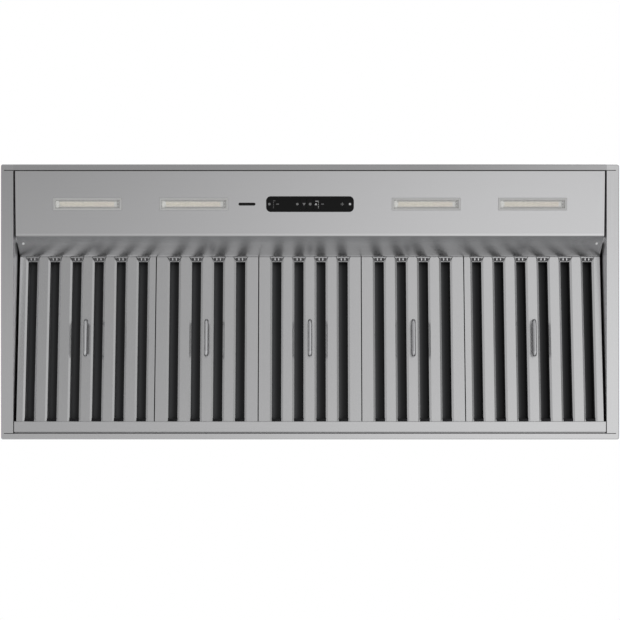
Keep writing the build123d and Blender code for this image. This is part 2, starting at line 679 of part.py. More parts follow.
# Leaf catches: a foot on the compartment cover and a nose in each window of the filters' front walls.
catch_along = filter_wall_base + FILTER_FRONT_LEAN * CATCH_HEIGHT / FILTER_HEIGHT + CATCH_BITE
catch_y = hinge_y + catch_along * slope_cos + CATCH_HEIGHT * slope_sin
catch_z = HINGE_Z - catch_along * slope_sin + CATCH_HEIGHT * slope_cos
catch_base = crest_z + ZINC
catch_points = [
    (catch_y - CATCH_HEIGHT - CATCH_FOOT, catch_base),
    (catch_y - CATCH_HEIGHT, catch_base),
    (catch_y, catch_z),
    (catch_y - CATCH_HEIGHT / 2, catch_z + CATCH_HEIGHT / 2),
]
with BuildPart() as catch_springs:
    for centre in filter_centres:
        for x in (centre - CATCH_OFFSET, centre + CATCH_OFFSET):
            with BuildSketch(Plane.YZ.offset(x)):
                add(folded_sheet(catch_points, [CATCH_BEND] * 2, CATCH_SHEET, 1))
            extrude(amount=CATCH_WIDTH / 2, both=True)
save(catch_springs.part, "catch_springs")


# ---------------------------------------------------------------- lamps
def make_lamp(number, x):
    """One lamp: a bezel tray set in the panel, and its lens."""
    body_length = LAMP_LENGTH - 2 * LAMP_RIM
    body_width = LAMP_WIDTH - 2 * LAMP_RIM
    with BuildPart() as bezel:
        with BuildSketch(light_plane.offset(-LAMP_RIM_THICKNESS)):
            with Locations((x, LAMP_LINE)):
                Rectangle(LAMP_LENGTH, LAMP_WIDTH)
        extrude(amount=LAMP_RIM_THICKNESS)
        with BuildSketch(light_plane):
            with Locations((x, LAMP_LINE)):
                Rectangle(body_length, body_width)
        extrude(amount=LAMP_HEIGHT)
        with BuildSketch(light_plane.offset(-LAMP_RIM_THICKNESS)):
            with Locations((x, LAMP_LINE)):
                Rectangle(body_length - 2 * LAMP_WALL, body_width - 2 * LAMP_WALL)
        extrude(amount=LAMP_HEIGHT + LAMP_RIM_THICKNESS - LAMP_WALL, mode=Mode.SUBTRACT)
    save(bezel.part, f"light_bezel_{number}")
    with BuildPart() as lens:
        with BuildSketch(light_plane.offset(LENS_RECESS - LENS_THICKNESS)):
            with Locations((x, LAMP_LINE)):
                Rectangle(body_length - 2 * LAMP_WALL, body_width - 2 * LAMP_WALL)
        extrude(amount=LENS_THICKNESS)
    save(lens.part, f"light_lens_{number}")


for number, x in enumerate(lamp_places, start=1):
    make_lamp(number, x)

led_base = LAMP_HEIGHT - LAMP_WALL - LED_BOARD_THICKNESS
with BuildPart() as led_strips:
    with BuildSketch(light_plane.offset(led_base)):
        with Locations(*[(x - LED_BOARD_SHIFT, LAMP_LINE) for x in lamp_places]):
            Rectangle(LED_BOARD_LENGTH, LED_BOARD_WIDTH)
    extrude(amount=LED_BOARD_THICKNESS)
    block_x = (LED_BOARD_LENGTH - LED_BLOCK_LENGTH) / 2
    with BuildSketch(light_plane.offset(led_base - LED_BLOCK_HEIGHT)):
        block_places = [x - LED_BOARD_SHIFT + end * block_x for x in lamp_places for end in (-1, 1)]
        with Locations(*[(x, LAMP_LINE) for x in block_places]):
            Rectangle(LED_BLOCK_LENGTH, LED_BOARD_WIDTH)
    extrude(amount=LED_BLOCK_HEIGHT)
save(led_strips.part, "led_strips")

# ---------------------------------------------------------------- sensor window
with BuildPart() as sensor_window:
    with BuildSketch(light_plane):
        with Locations((SENSOR_X, LAMP_LINE)):
            SlotOverall(SENSOR_LENGTH, SENSOR_WIDTH)
    extrude(amount=STEEL)
    with BuildSketch(light_plane.offset(STEEL)):
        with Locations((SENSOR_X, LAMP_LINE)):
            Rectangle(SENSOR_LENGTH + 2 * SENSOR_FLANGE, SENSOR_WIDTH + 2 * SENSOR_FLANGE)
    extrude(amount=SENSOR_FLANGE)
save(sensor_window.part, "sensor_window")

# ---------------------------------------------------------------- controls
BUTTONS = {
    "button_light": (-END_BUTTON_X, END_BUTTON_WIDTH),
    "button_down": (-BUTTON_PITCH, BUTTON_WIDTH),
    "button_timer": (0, BUTTON_WIDTH),
    "button_up": (BUTTON_PITCH, BUTTON_WIDTH),
    "button_power": (END_BUTTON_X, END_BUTTON_WIDTH),
}
with BuildPart() as control_fascia:
    with BuildSketch(light_plane.offset(-FASCIA_DEPTH)):
        with Locations((0, LAMP_LINE)):
            RectangleRounded(FASCIA_LENGTH, FASCIA_WIDTH, FASCIA_CORNER)
    extrude(amount=FASCIA_DEPTH)
    front_face = control_fascia.faces().sort_by(Axis(light_plane.origin, light_plane.z_dir))[0]
    fillet(front_face.edges(), FASCIA_PLATE / 2)
    with BuildSketch(light_plane.offset(FASCIA_PLATE - FASCIA_DEPTH)):
        with Locations((0, LAMP_LINE)):
            RectangleRounded(fascia_inner_length, fascia_inner_width, fascia_inner_corner)
    extrude(amount=FASCIA_DEPTH, mode=Mode.SUBTRACT)
    with BuildSketch(light_plane.offset(-FASCIA_DEPTH)):
        with Locations((-GROOVE_X, LAMP_LINE), (GROOVE_X, LAMP_LINE)):
            SlotOverall(GROOVE_LENGTH, GROOVE_WIDTH)
    extrude(amount=GROOVE_DEPTH, mode=Mode.SUBTRACT)
    for x, width in BUTTONS.values():
        with BuildSketch(light_plane.offset(-FASCIA_DEPTH)):
            with Locations((x, LAMP_LINE)):
                Rectangle(width + 2 * BUTTON_SLACK, BUTTON_HEIGHT + 2 * BUTTON_SLACK)
        extrude(amount=FASCIA_PLATE, mode=Mode.SUBTRACT)
    with BuildSketch(light_plane.offset(FASCIA_PLATE - FASCIA_DEPTH)):
        with Locations((-POST_X, LAMP_LINE), (POST_X, LAMP_LINE)):
            Circle(POST_RADIUS)
    extrude(amount=BOARD_HEIGHT + FASCIA_DEPTH - FASCIA_PLATE)
save(control_fascia.part, "control_fascia")

flange_top = -FASCIA_DEPTH + FASCIA_PLATE + TOUCH + BUTTON_FLANGE
stem_top = BOARD_HEIGHT - SWITCH_HEIGHT - BUTTON_TRAVEL - TOUCH
for node, (x, width) in BUTTONS.items():
    with BuildPart() as button:
        with BuildSketch(light_plane.offset(-FASCIA_DEPTH - BUTTON_PROUD)):
            with Locations((x, LAMP_LINE)):
                RectangleRounded(width, BUTTON_HEIGHT, BUTTON_CORNER)
        extrude(amount=BUTTON_PROUD + FASCIA_PLATE + TOUCH)
        with BuildSketch(light_plane.offset(flange_top - BUTTON_FLANGE)):
            with Locations((x, LAMP_LINE)):
                Rectangle(width, BUTTON_HEIGHT + 2 * (BUTTON_SLACK + BUTTON_LIP))
        extrude(amount=BUTTON_FLANGE)
        with BuildSketch(light_plane.offset(flange_top)):
            with Locations((x, LAMP_LINE)):
                Circle(BUTTON_STEM)
        extrude(amount=stem_top - flange_top)
    save(button.part, node)

with BuildPart() as control_board:
    with BuildSketch(light_plane.offset(BOARD_HEIGHT)):
        with Locations((0, LAMP_LINE)):
            Rectangle(BOARD_LENGTH, BOARD_WIDTH)
    extrude(amount=BOARD_THICKNESS)
    with BuildSketch(light_plane.offset(BOARD_HEIGHT - SWITCH_HEIGHT)):
        with Locations(*[(x, LAMP_LINE) for x, width in BUTTONS.values()]):
            Rectangle(SWITCH_SIZE, SWITCH_SIZE)
    extrude(amount=SWITCH_HEIGHT)
save(control_board.part, "control_board")

with BuildPart() as driver_box:
    box_top = Plane.XY.offset(crest_z)
    driver_y = panel_front_y + LAMP_LINE
    with BuildSketch(box_top):
        with Locations((driver_x, driver_y)):
            Rectangle(DRIVER_LENGTH, DRIVER_WIDTH)
    extrude(amount=-DRIVER_HEIGHT)
    with BuildSketch(box_top):
        with Locations((driver_x, driver_y)):
            Rectangle(DRIVER_LENGTH + 2 * DRIVER_EAR, DRIVER_WIDTH / 2)
    extrude(amount=-STEEL)
save(driver_box.part, "driver_box")


# ---------------------------------------------------------------- blowers
def scroll_outline(inset):
    """Closed outline of the scroll in Y and Z, this much inside its outer face, open at the top."""
    high = HOUSING_TOP if inset == 0 else HOUSING_TOP + STEEL
    near, far = -SCROLL_STEP / 2, SCROLL_STEP / 2
    corners = [(far, far), (far, near), (near, near), (near, far)]
    centres = [(scroll_y + y, BLOWER_Z + z) for y, z in corners]
    radii = [SCROLL_LAST_RADIUS - i * SCROLL_STEP - inset for i in range(4)]
    inner_wall = scroll_y + throat_edge + inset
    last_y, last_z = centres[3]
    last_rise = sqrt(radii[3]**2 - (inner_wall - last_y)**2)
    last_turn = degrees(atan2(inner_wall - last_y, last_rise))
    with BuildSketch(Plane.XY, mode=Mode.PRIVATE) as outline:
        with BuildLine():
            turns = [CenterArc(centres[i], radii[i], -90 * i, -90) for i in range(3)]
            tongue = CenterArc(centres[3], radii[3], 90, -last_turn)
            Polyline(tongue @ 1, (inner_wall, high), ((turns[0] @ 0).X, high), turns[0] @ 0)
        make_face()
    return outline.sketch


def blade_edge(turn):
    """Curved face of a wheel blade in section, turned about the wheel's axle by this many degrees."""
    root = radians(turn)
    tip = radians(turn + BLADE_SWEEP)
    start = (WHEEL_EYE * cos(root), WHEEL_EYE * sin(root))
    end = (WHEEL_RADIUS * cos(tip), WHEEL_RADIUS * sin(tip))
    return RadiusArc(start, end, BLADE_CURVE)


def make_blower(name, side):
    """One blower: scroll, wheel with its shaft, and motor; the motor sits on the outboard side."""
    x = side * blower_x
    inner_half = SCROLL_WIDTH / 2 - STEEL
    axle = Axis((0, scroll_y, BLOWER_Z), (1, 0, 0))
    with BuildPart() as scroll:
        with BuildSketch(Plane.YZ.offset(x)):
            add(scroll_outline(0))
        extrude(amount=SCROLL_WIDTH / 2, both=True)
        with BuildSketch(Plane.XY.offset(HOUSING_TOP - STEEL)):
            with Locations((x, DUCT_Y)):
                Rectangle(SCROLL_WIDTH + 2 * SCROLL_FLANGE, SCROLL_THROAT + 2 * SCROLL_FLANGE)
        extrude(amount=STEEL)
        with BuildSketch(Plane.YZ.offset(x)):
            add(scroll_outline(STEEL))
        extrude(amount=inner_half, both=True, mode=Mode.SUBTRACT)
        with BuildSketch(Plane.YZ.offset(x)):
            with Locations((scroll_y, BLOWER_Z)):
                Circle(INLET_RADIUS + INLET_CURL)
        extrude(amount=SCROLL_WIDTH / 2, both=True, mode=Mode.SUBTRACT)
        # Inlet rings, curled in towards the wheel.
        for end in (-1, 1):
            with BuildSketch(Plane(origin=(x, scroll_y, BLOWER_Z), x_dir=(end, 0, 0), z_dir=(0, -end, 0))):
                with BuildLine():
                    face_x = SCROLL_WIDTH / 2
                    rim = INLET_RADIUS + INLET_CURL
                    outer = CenterArc((face_x - INLET_CURL, rim), INLET_CURL, -90, 90)
                    inner = CenterArc((face_x - INLET_CURL, rim), INLET_CURL - STEEL, -90, 90)
                    Line(outer @ 0, inner @ 0)
                    Line(outer @ 1, inner @ 1)
                make_face()
            revolve(axis=axle)
    save(scroll.part, f"{name}_scroll")

    with BuildPart() as wheel:
        with BuildSketch(Plane.XY, mode=Mode.PRIVATE) as blade:
            with BuildLine():
                leading = blade_edge(0)
                trailing = blade_edge(BLADE_SPREAD)
                Line(leading @ 0, trailing @ 0)
                Line(leading @ 1, trailing @ 1)
            make_face()
        with BuildSketch(Plane.YZ.offset(x)):
            with Locations((scroll_y, BLOWER_Z)):
                with PolarLocations(0, BLADE_COUNT):
                    add(blade.sketch)
        extrude(amount=WHEEL_LENGTH / 2, both=True)
        for end in (-1, 1):
            with BuildSketch(Plane.YZ.offset(x + end * (WHEEL_LENGTH - WHEEL_RING) / 2)):
                with Locations((scroll_y, BLOWER_Z)):
                    Circle(WHEEL_RADIUS)
                    Circle(WHEEL_EYE, mode=Mode.SUBTRACT)
            extrude(amount=WHEEL_RING / 2, both=True)
        with BuildSketch(Plane.YZ.offset(x)):
            with Locations((scroll_y, BLOWER_Z)):
                Circle(WHEEL_RADIUS)
        extrude(amount=WHEEL_RING / 2, both=True)
        with BuildSketch(Plane.YZ.offset(x)):
            with Locations((scroll_y, BLOWER_Z)):
                Circle(HUB_RADIUS)
        extrude(amount=HUB_LENGTH / 2, both=True)
        with BuildSketch(Plane.YZ.offset(x)):
            with Locations((scroll_y, BLOWER_Z)):
                Circle(SHAFT_RADIUS)
        extrude(amount=HUB_LENGTH, both=True, mode=Mode.SUBTRACT)
    motor_near = x + side * MOTOR_TO_DISC
    shaft_length = MOTOR_TO_DISC + MOTOR_LENGTH + HUB_LENGTH / 2 + 2 * SHAFT_END
    with BuildPart() as shaft:
        with BuildSketch(Plane.YZ.offset(x - side * (HUB_LENGTH / 2 + SHAFT_END))):
            with Locations((scroll_y, BLOWER_Z)):
                Circle(SHAFT_RADIUS)
        extrude(amount=side * shaft_length)
    save(Compound(children=[*wheel.part.solids(), *shaft.part.solids()]), f"{name}_impeller")

    with BuildPart() as motor:
        with BuildSketch(Plane.YZ.offset(motor_near)):
            with Locations((scroll_y, BLOWER_Z)):
                Circle(MOTOR_RADIUS - MOTOR_CAP_INSET)
        extrude(amount=side * MOTOR_LENGTH)
        with BuildSketch(Plane.YZ.offset(motor_near + side * MOTOR_CAP)):
            with Locations((scroll_y, BLOWER_Z)):
                Circle(MOTOR_RADIUS)
        extrude(amount=side * (MOTOR_LENGTH - 2 * MOTOR_CAP))
        with BuildSketch(Plane.YZ.offset(motor_near)):
            with Locations((scroll_y, BLOWER_Z)):
                Circle(SHAFT_RADIUS + SHAFT_PLAY)
        extrude(amount=side * MOTOR_LENGTH, mode=Mode.SUBTRACT)
    save(motor.part, f"{name}_motor")


make_blower("left", -1)
make_blower("right", 1)

with BuildPart() as motor_brackets:
    for side in (-1, 1):
        with BuildSketch(Plane.YZ.offset(side * (blower_x + SCROLL_WIDTH / 2))):
            with Locations((scroll_y, BLOWER_Z)):
                Circle(MOTOR_RADIUS + SPIDER_BAND)
                with PolarLocations((MOTOR_RADIUS + SPIDER_REACH) / 2, 3, start_angle=90):
                    Rectangle(SPIDER_REACH - MOTOR_RADIUS, SPIDER_ARM)
                Circle(MOTOR_RADIUS, mode=Mode.SUBTRACT)
        extrude(amount=side * SPIDER_THICKNESS)
save(motor_brackets.part, "motor_brackets")


# ---------------------------------------------------------------- duct collars and dampers
def make_collar(name, side):
    """Duct collar with its base flange, the damper's stop bead and the spindle's holes."""
    inner = COLLAR_RADIUS - COLLAR_SHEET
    stop_top = SPINDLE_Z - FLAP_SHEET / 2 - TOUCH
    collar_plane = Plane(origin=(side * blower_x, DUCT_Y, 0), x_dir=(1, 0, 0), z_dir=(0, -1, 0))
    with BuildPart() as collar:
        with BuildSketch(collar_plane):
            Polygon(
                (inner, collar_base),
                (COLLAR_RADIUS + COLLAR_FLANGE, collar_base),
                (COLLAR_RADIUS + COLLAR_FLANGE, collar_base + COLLAR_SHEET),
                (COLLAR_RADIUS, collar_base + COLLAR_SHEET),
                (COLLAR_RADIUS, COLLAR_TOP),
                (inner, COLLAR_TOP),
                (inner, stop_top),
                (inner - STOP_DEPTH, stop_top),
                (inner - STOP_DEPTH, stop_top - COLLAR_SHEET),
                (inner, stop_top - COLLAR_SHEET),
                align=None,
            )
        revolve(axis=Axis((side * blower_x, DUCT_Y, 0), (0, 0, 1)))
        with BuildSketch(Plane.YZ.offset(side * blower_x)):
            with Locations((DUCT_Y, SPINDLE_Z)):
                Circle(SPINDLE_RADIUS)
        extrude(amount=COLLAR_RADIUS + COLLAR_FLANGE, both=True, mode=Mode.SUBTRACT)
    save(collar.part, f"{name}_collar")


def make_flap(node, blower, swing, places):
    """Half-round damper flap on its knuckles; swing is -1 for the front flap and 1 for the rear one."""
    centre_x = blower * blower_x
    with BuildPart() as flap:
        with BuildSketch(Plane.XY.offset(SPINDLE_Z - FLAP_SHEET / 2)):
            with Locations((centre_x, DUCT_Y)):
                Circle(flap_radius)
            with Locations((centre_x, DUCT_Y - swing * flap_radius)):
                Rectangle(2 * flap_radius, 2 * (flap_radius + FLAP_ROOT), mode=Mode.SUBTRACT)
            with Locations(*[(centre_x + place, DUCT_Y + swing * FLAP_ROOT / 2) for place in places]):
                Rectangle(KNUCKLE_LENGTH, FLAP_ROOT)
        extrude(amount=FLAP_SHEET)
        for place in places:
            with BuildSketch(Plane.YZ.offset(centre_x + place)):
                with Locations((DUCT_Y, SPINDLE_Z)):
                    Circle(KNUCKLE_RADIUS)
            extrude(amount=KNUCKLE_LENGTH / 2, both=True)
            with BuildSketch(Plane.YZ.offset(centre_x + place)):
                with Locations((DUCT_Y, SPINDLE_Z)):
                    Circle(SPINDLE_RADIUS + SPINDLE_PLAY)
            extrude(amount=KNUCKLE_LENGTH, both=True, mode=Mode.SUBTRACT)
    save(flap.part, node)


for name, side in (("left", -1), ("right", 1)):
    make_collar(name, side)
    make_flap(f"{name}_damper_front", side, -1, (-KNUCKLE_PLACES[1], KNUCKLE_PLACES[0]))
    make_flap(f"{name}_damper_rear", side, 1, (-KNUCKLE_PLACES[0], KNUCKLE_PLACES[1]))

with BuildPart() as damper_spindles:
    for side in (-1, 1):
        with BuildSketch(Plane.YZ.offset(side * blower_x)):
            with Locations((DUCT_Y, SPINDLE_Z)):
                Circle(SPINDLE_RADIUS)
        extrude(amount=COLLAR_RADIUS, both=True)
save(damper_spindles.part, "damper_spindles")

# ---------------------------------------------------------------- junction box
with BuildPart() as junction_box:
    with BuildSketch(Plane.XY.offset(collar_base)):
        with Locations((junction_x, junction_y)):
            Rectangle(JUNCTION_LENGTH, JUNCTION_WIDTH)
            Rectangle(JUNCTION_LENGTH - 2 * ZINC, JUNCTION_WIDTH - 2 * ZINC, mode=Mode.SUBTRACT)
    extrude(amount=JUNCTION_HEIGHT)
    with BuildSketch(Plane.XY.offset(collar_base)):
        with Locations((junction_x, junction_y)):
            Rectangle(JUNCTION_LENGTH, JUNCTION_WIDTH)
            Circle(JUNCTION_RADIUS, mode=Mode.SUBTRACT)
    extrude(amount=ZINC)
    entry_z = collar_base + JUNCTION_HEIGHT / 2
    with BuildSketch(Plane.YZ.offset(junction_x + JUNCTION_LENGTH / 2)):
        with Locations((junction_y, entry_z)):
            Circle(JUNCTION_RADIUS)
    extrude(amount=-ZINC, mode=Mode.SUBTRACT)
save(junction_box.part, "junction_box")

with BuildPart() as junction_cover:
    cover_top = collar_base + JUNCTION_HEIGHT
    with BuildSketch(Plane.XY.offset(cover_top)):
        with Locations((junction_x, junction_y)):
            Rectangle(JUNCTION_LENGTH + 2 * ZINC + TOUCH, JUNCTION_WIDTH + 2 * ZINC + TOUCH)
    extrude(amount=ZINC)
    with BuildSketch(Plane.XY.offset(cover_top)):
        with Locations((junction_x, junction_y)):
            Rectangle(JUNCTION_LENGTH + 2 * ZINC + TOUCH, JUNCTION_WIDTH + 2 * ZINC + TOUCH)
            Rectangle(JUNCTION_LENGTH + TOUCH, JUNCTION_WIDTH + TOUCH, mode=Mode.SUBTRACT)
    extrude(amount=-COVER_LIP)
save(junction_cover.part, "junction_cover")
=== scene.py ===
"""Built-in range hood insert, seen from below.

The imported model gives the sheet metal, filters, lamps, controls, blowers and dampers. This script
gives each of them its finish, adds the small pieces that they carry, and sets the studio and the
camera. Everything is in metres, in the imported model's frame: +Z is up as installed, -Y is the cook's
side and +X is the cook's right.
"""

import json
import logging
import math
from dataclasses import dataclass, field
from enum import Enum, auto

import bmesh
import bpy
from mathutils import Matrix, Vector

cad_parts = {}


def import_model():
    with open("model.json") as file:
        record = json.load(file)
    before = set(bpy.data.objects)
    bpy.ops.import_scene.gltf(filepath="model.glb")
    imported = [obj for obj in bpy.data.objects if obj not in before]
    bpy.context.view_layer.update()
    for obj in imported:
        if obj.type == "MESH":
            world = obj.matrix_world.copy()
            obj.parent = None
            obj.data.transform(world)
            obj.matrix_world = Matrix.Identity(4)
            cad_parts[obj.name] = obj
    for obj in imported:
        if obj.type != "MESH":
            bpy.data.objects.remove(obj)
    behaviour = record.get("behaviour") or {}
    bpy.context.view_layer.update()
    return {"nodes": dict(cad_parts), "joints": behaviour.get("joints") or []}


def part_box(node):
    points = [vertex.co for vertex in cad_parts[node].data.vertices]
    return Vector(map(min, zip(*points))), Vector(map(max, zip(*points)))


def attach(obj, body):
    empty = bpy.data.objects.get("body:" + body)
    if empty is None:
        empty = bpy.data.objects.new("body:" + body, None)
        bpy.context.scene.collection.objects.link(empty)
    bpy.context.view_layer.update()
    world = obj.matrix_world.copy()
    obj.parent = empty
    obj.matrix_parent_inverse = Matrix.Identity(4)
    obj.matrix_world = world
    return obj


LOG = logging.getLogger("hood_insert")

Triple = tuple[float, float, float]
Colour = Triple
Span = tuple[float, float]
Socket = bpy.types.NodeSocket
Input = Socket | float | tuple[float, ...]
Shape = bmesh.types.BMesh

HINGE_Y = 0.286
HINGE_Z = 0.008
FACE_SLOPE = 0.1275
SLOT_PITCH = 0.05375
FILTER_MIDDLES = (-0.5404, -0.2494, 0.0, 0.2494, 0.5404)
FILTER_SLOTS = (6, 4, 4, 4, 6)
BAFFLE_BACK = 0.0364
RAIL_EDGE = 0.7115
BLACK = (0.0, 0.0, 0.0)
NEAREST = -1.0
SMOOTH = "SMOOTHSTEP"


class Grain(Enum):
    """Direction in which a steel sheet is brushed."""

    ALONG_X = auto()
    ALONG_Y = auto()
    RAILS = auto()


class Mark(Enum):
    """Printed mark on the control panel."""

    DOT = auto()
    DASH = auto()
    DOWN = auto()
    UP = auto()
    PLUS = auto()
    SCALE = auto()


# -------- scene data and node trees
def as_mesh(name: str, shape: Shape) -> bpy.types.Mesh:
    """Turn a shape into a mesh, and free the shape."""
    mesh = bpy.data.meshes.new(name)
    shape.to_mesh(mesh)
    shape.free()
    return mesh


def add_object(name: str, data: bpy.types.ID) -> bpy.types.Object:
    """Add an object with its mesh, camera or lamp to the scene."""
    made = bpy.data.objects.new(name, data)
    bpy.context.scene.collection.objects.link(made)
    return made


class Tree:
    """Node tree, with short calls for the nodes that the finishes and the studio share."""

    def __init__(self, tree: bpy.types.NodeTree) -> None:
        """Take the node tree that nodes are added to."""
        self.tree = tree

    def wire(self, node: bpy.types.Node, inputs: dict[str | int, Input]) -> None:
        """Link each input of a node to its source, or set it to its constant.

        Args:
            node: The node.
            inputs: A source or a constant, by the input's name or place.
        """
        for key, value in inputs.items():
            if isinstance(value, Socket):
                self.tree.links.new(value, node.inputs[key])
            else:
                node.inputs[key].default_value = value

    def add(self, kind: str, inputs: dict[str | int, Input]) -> bpy.types.Node:
        """Add a node.

        Args:
            kind: Name of its type, without the prefix.
            inputs: A source or a constant, by the input's name or place.

        Returns:
            The node.
        """
        node = self.tree.nodes.new(f"ShaderNode{kind}")
        self.wire(node, inputs)
        return node

    def combine(self, operation: str, first: Input, second: Input = 0.0) -> Socket:
        """Result of a maths operation on one or two values.

        Args:
            operation: Name of the Math node's operation.
            first: First operand.
            second: Second operand, where the operation takes one.

        Returns:
            The result.
        """
        node = self.add("Math", {0: first, 1: second})
        node.operation = operation
        return node.outputs["Value"]

    def remap(
        self, value: Socket, low: float, high: float, start: float = 0.3, end: float = 0.7, curve: str = "LINEAR"
    ) -> Socket:
        """Value stretched from start..end to low..high.

        Args:
            value: The value to map.
            low: Result at start.
            high: Result at end.
            start: Input that gives low.
            end: Input that gives high.
            curve: Form of the curve between them.

        Returns:
            The mapped value.
        """
        limits = {"From Min": start, "From Max": end, "To Min": low, "To Max": high}
        node = self.add("MapRange", {"Value": value, **limits})
        node.interpolation_type = curve
        return node.outputs["Result"]

    def mix(self, factor: Input, first: Socket, second: Socket) -> Socket:
        """Value between two values, the first at factor 0 and the second at factor 1."""
        return self.add("Mix", {0: factor, 2: first, 3: second}).outputs[0]

    def blend(self, factor: Socket, first: Colour | Socket, second: Colour | Socket) -> Socket:
        """Colour between two colours, the first at factor 0 and the second at factor 1."""
        node = self.add("Mix", {0: factor})
        node.data_type = "RGBA"
        for place, end in ((6, first), (7, second)):
            self.wire(node, {place: (*end, 1.0) if isinstance(end, tuple) else end})
        return node.outputs[2]

    def for_camera(self, plain: bpy.types.Node, seen: bpy.types.Node) -> Socket:
        """Shader that is the seen node's to the camera and the plain node's to all other rays."""
        is_camera = self.add("LightPath", {}).outputs["Is Camera Ray"]
        return self.add("MixShader", {0: is_camera, 1: plain.outputs[0], 2: seen.outputs[0]}).outputs[0]


class Recipe(Tree):
    """Node tree of one finish, which is read at the object's own coordinates."""

    def __init__(self, name: str) -> None:
        """Start a named material, with its shader and its object-space position."""
        self.material = bpy.data.materials.new(name)
        self.material.use_nodes = True
        super().__init__(self.material.node_tree)
        self.shader = self.tree.nodes["Principled BSDF"]
        self.position = self.add("TexCoord", {}).outputs["Object"]

    def set(self, **inputs: Input) -> None:
        """Link or set the shader's inputs, by name with underscores for spaces."""
        self.wire(self.shader, {name.replace("_", " "): value for name, value in inputs.items()})

    def scaled(self, scale: Triple) -> Socket:
        """Object position multiplied by a scale for each axis."""
        return self.add("Mapping", {"Vector": self.position, "Scale": scale}).outputs["Vector"]

    def axis(self, name: str) -> Socket:
        """One coordinate of the object position."""
        return self.add("SeparateXYZ", {"Vector": self.position}).outputs[name]

    def aside(self, name: str) -> Socket:
        """Distance from the object's middle along one axis."""
        return self.combine("ABSOLUTE", self.axis(name))

    def noise(self, vector: Socket, scale: float) -> Socket:
        """Noise over a vector, from 0 to 1, with a number of features per unit."""
        return self.add("TexNoise", {"Vector": vector, "Scale": scale}).outputs["Fac"]

    def cells(self, vector: Socket, scale: float) -> Socket:
        """Random grey of the cell that a vector lies in."""
        colour = self.add("TexVoronoi", {"Vector": vector, "Scale": scale}).outputs["Color"]
        return self.add("SeparateColor", {"Color": colour}).outputs["Red"]

    def inside(self, *spans: tuple[Socket, float, float]) -> Socket:
        """1 where each span's value lies between its two limits, and 0 elsewhere."""
        mask: Input = 1.0
        for value, low, high in spans:
            for operation, limit in (("GREATER_THAN", low), ("LESS_THAN", high)):
                mask = self.combine("MULTIPLY", self.combine(operation, value, limit), mask)
        return mask

    def emboss(self, height: Socket, distance: float) -> None:
        """Bump the surface by a height from 0 to 1, where 1 is a distance in metres."""
        bump = self.add("Bump", {"Strength": 1.0, "Distance": distance, "Height": height})
        self.set(Normal=bump.outputs["Normal"])


# -------- shades: painted light and shade, and dark seams
def shade(colour: Colour, factor: float) -> Colour:
    """Colour multiplied by a factor."""
    return tuple(min(1.0, channel * factor) for channel in colour)


def face_lift(recipe: Recipe) -> Socket:
    """Height above the filters' sloping faces."""
    sloped = recipe.combine("MULTIPLY", recipe.combine("SUBTRACT", recipe.axis("Y"), HINGE_Y), FACE_SLOPE)
    return recipe.combine("ADD", sloped, recipe.combine("SUBTRACT", recipe.axis("Z"), HINGE_Z))


def slot_place(recipe: Recipe, middle: float) -> Socket:
    """Distance to the right of the nearest slot of a filter, as a share of the slots' pitch.

    Args:
        recipe: The material being made.
        middle: The filter's middle, between two slots.

    Returns:
        The share, from -0.5 to 0.5.
    """
    turns = recipe.combine("DIVIDE", recipe.combine("SUBTRACT", recipe.axis("X"), middle), SLOT_PITCH)
    return recipe.combine("SUBTRACT", recipe.combine("FRACT", turns), 0.5)


class Shade:
    """Change of a steel's tone or roughness by place: painted light or shade, a dark seam, or a duller patch."""

    def tint(self, recipe: Recipe, colour: Socket, light: Colour) -> Socket:
        """Colour with the change of tone.

        Args:
            recipe: The material being made.
            colour: The colour elsewhere.
            light: The steel's lighter colour, which tones are factors of.

        Returns:
            The colour everywhere.
        """
        raise NotImplementedError

    def dull(self, recipe: Recipe, roughness: Socket) -> Socket:
        """Roughness with the change, from the roughness elsewhere. Most shades make none."""
        return roughness


@dataclass(frozen=True)
class LipShade(Shade):
    """Painted shade along the frame's front lip, darkest at one place and lighter away from it."""

    edge: float = -0.3145
    middle: float = 0.3
    low: float = 0.62
    slope: float = 0.30

    def tint(self, recipe: Recipe, colour: Socket, light: Colour) -> Socket:
        """Colour with the front lip's painted shade."""
        away = recipe.combine("ABSOLUTE", recipe.combine("SUBTRACT", recipe.axis("X"), self.middle))
        level = recipe.combine("ADD", recipe.combine("MULTIPLY", away, self.slope), self.low)
        on_lip = recipe.inside((recipe.axis("Y"), NEAREST, self.edge), (recipe.aside("X"), NEAREST, RAIL_EDGE))
        return recipe.blend(on_lip, colour, recipe.blend(level, BLACK, colour))


@dataclass(frozen=True)
class SeamShade(Shade):
    """Dark line in the butt seams at the frame's four corners."""

    line: float = 0.3153
    half_width: float = 0.0009
    start: float = 0.7110
    end: float = 0.7335
    dark: Colour = (0.050, 0.050, 0.051)

    def tint(self, recipe: Recipe, colour: Socket, light: Colour) -> Socket:
        """Colour with the seams dark."""
        off_line = recipe.combine("SUBTRACT", recipe.aside("Y"), self.line)
        spans = ((off_line, -self.half_width, self.half_width), (recipe.aside("X"), self.start, self.end))
        return recipe.blend(recipe.inside(*spans), colour, self.dark)


@dataclass(frozen=True)
class RearShade(Shade):
    """Shade on the slanted rear end of each slot, beside the ledge."""

    middle: float
    half_width: float = 0.0118
    start: float = 0.2790
    end: float = 0.2905
    low: float = 0.0003
    high: float = 0.0036
    dark: Colour = (0.020, 0.020, 0.021)

    def tint(self, recipe: Recipe, colour: Socket, light: Colour) -> Socket:
        """Colour with the rear ends in shade."""
        share = self.half_width / SLOT_PITCH
        in_shade = recipe.inside(
            (recipe.axis("Y"), self.start, self.end),
            (face_lift(recipe), self.low, self.high),
            (slot_place(recipe, self.middle), -share, share),
        )
        return recipe.blend(in_shade, colour, self.dark)


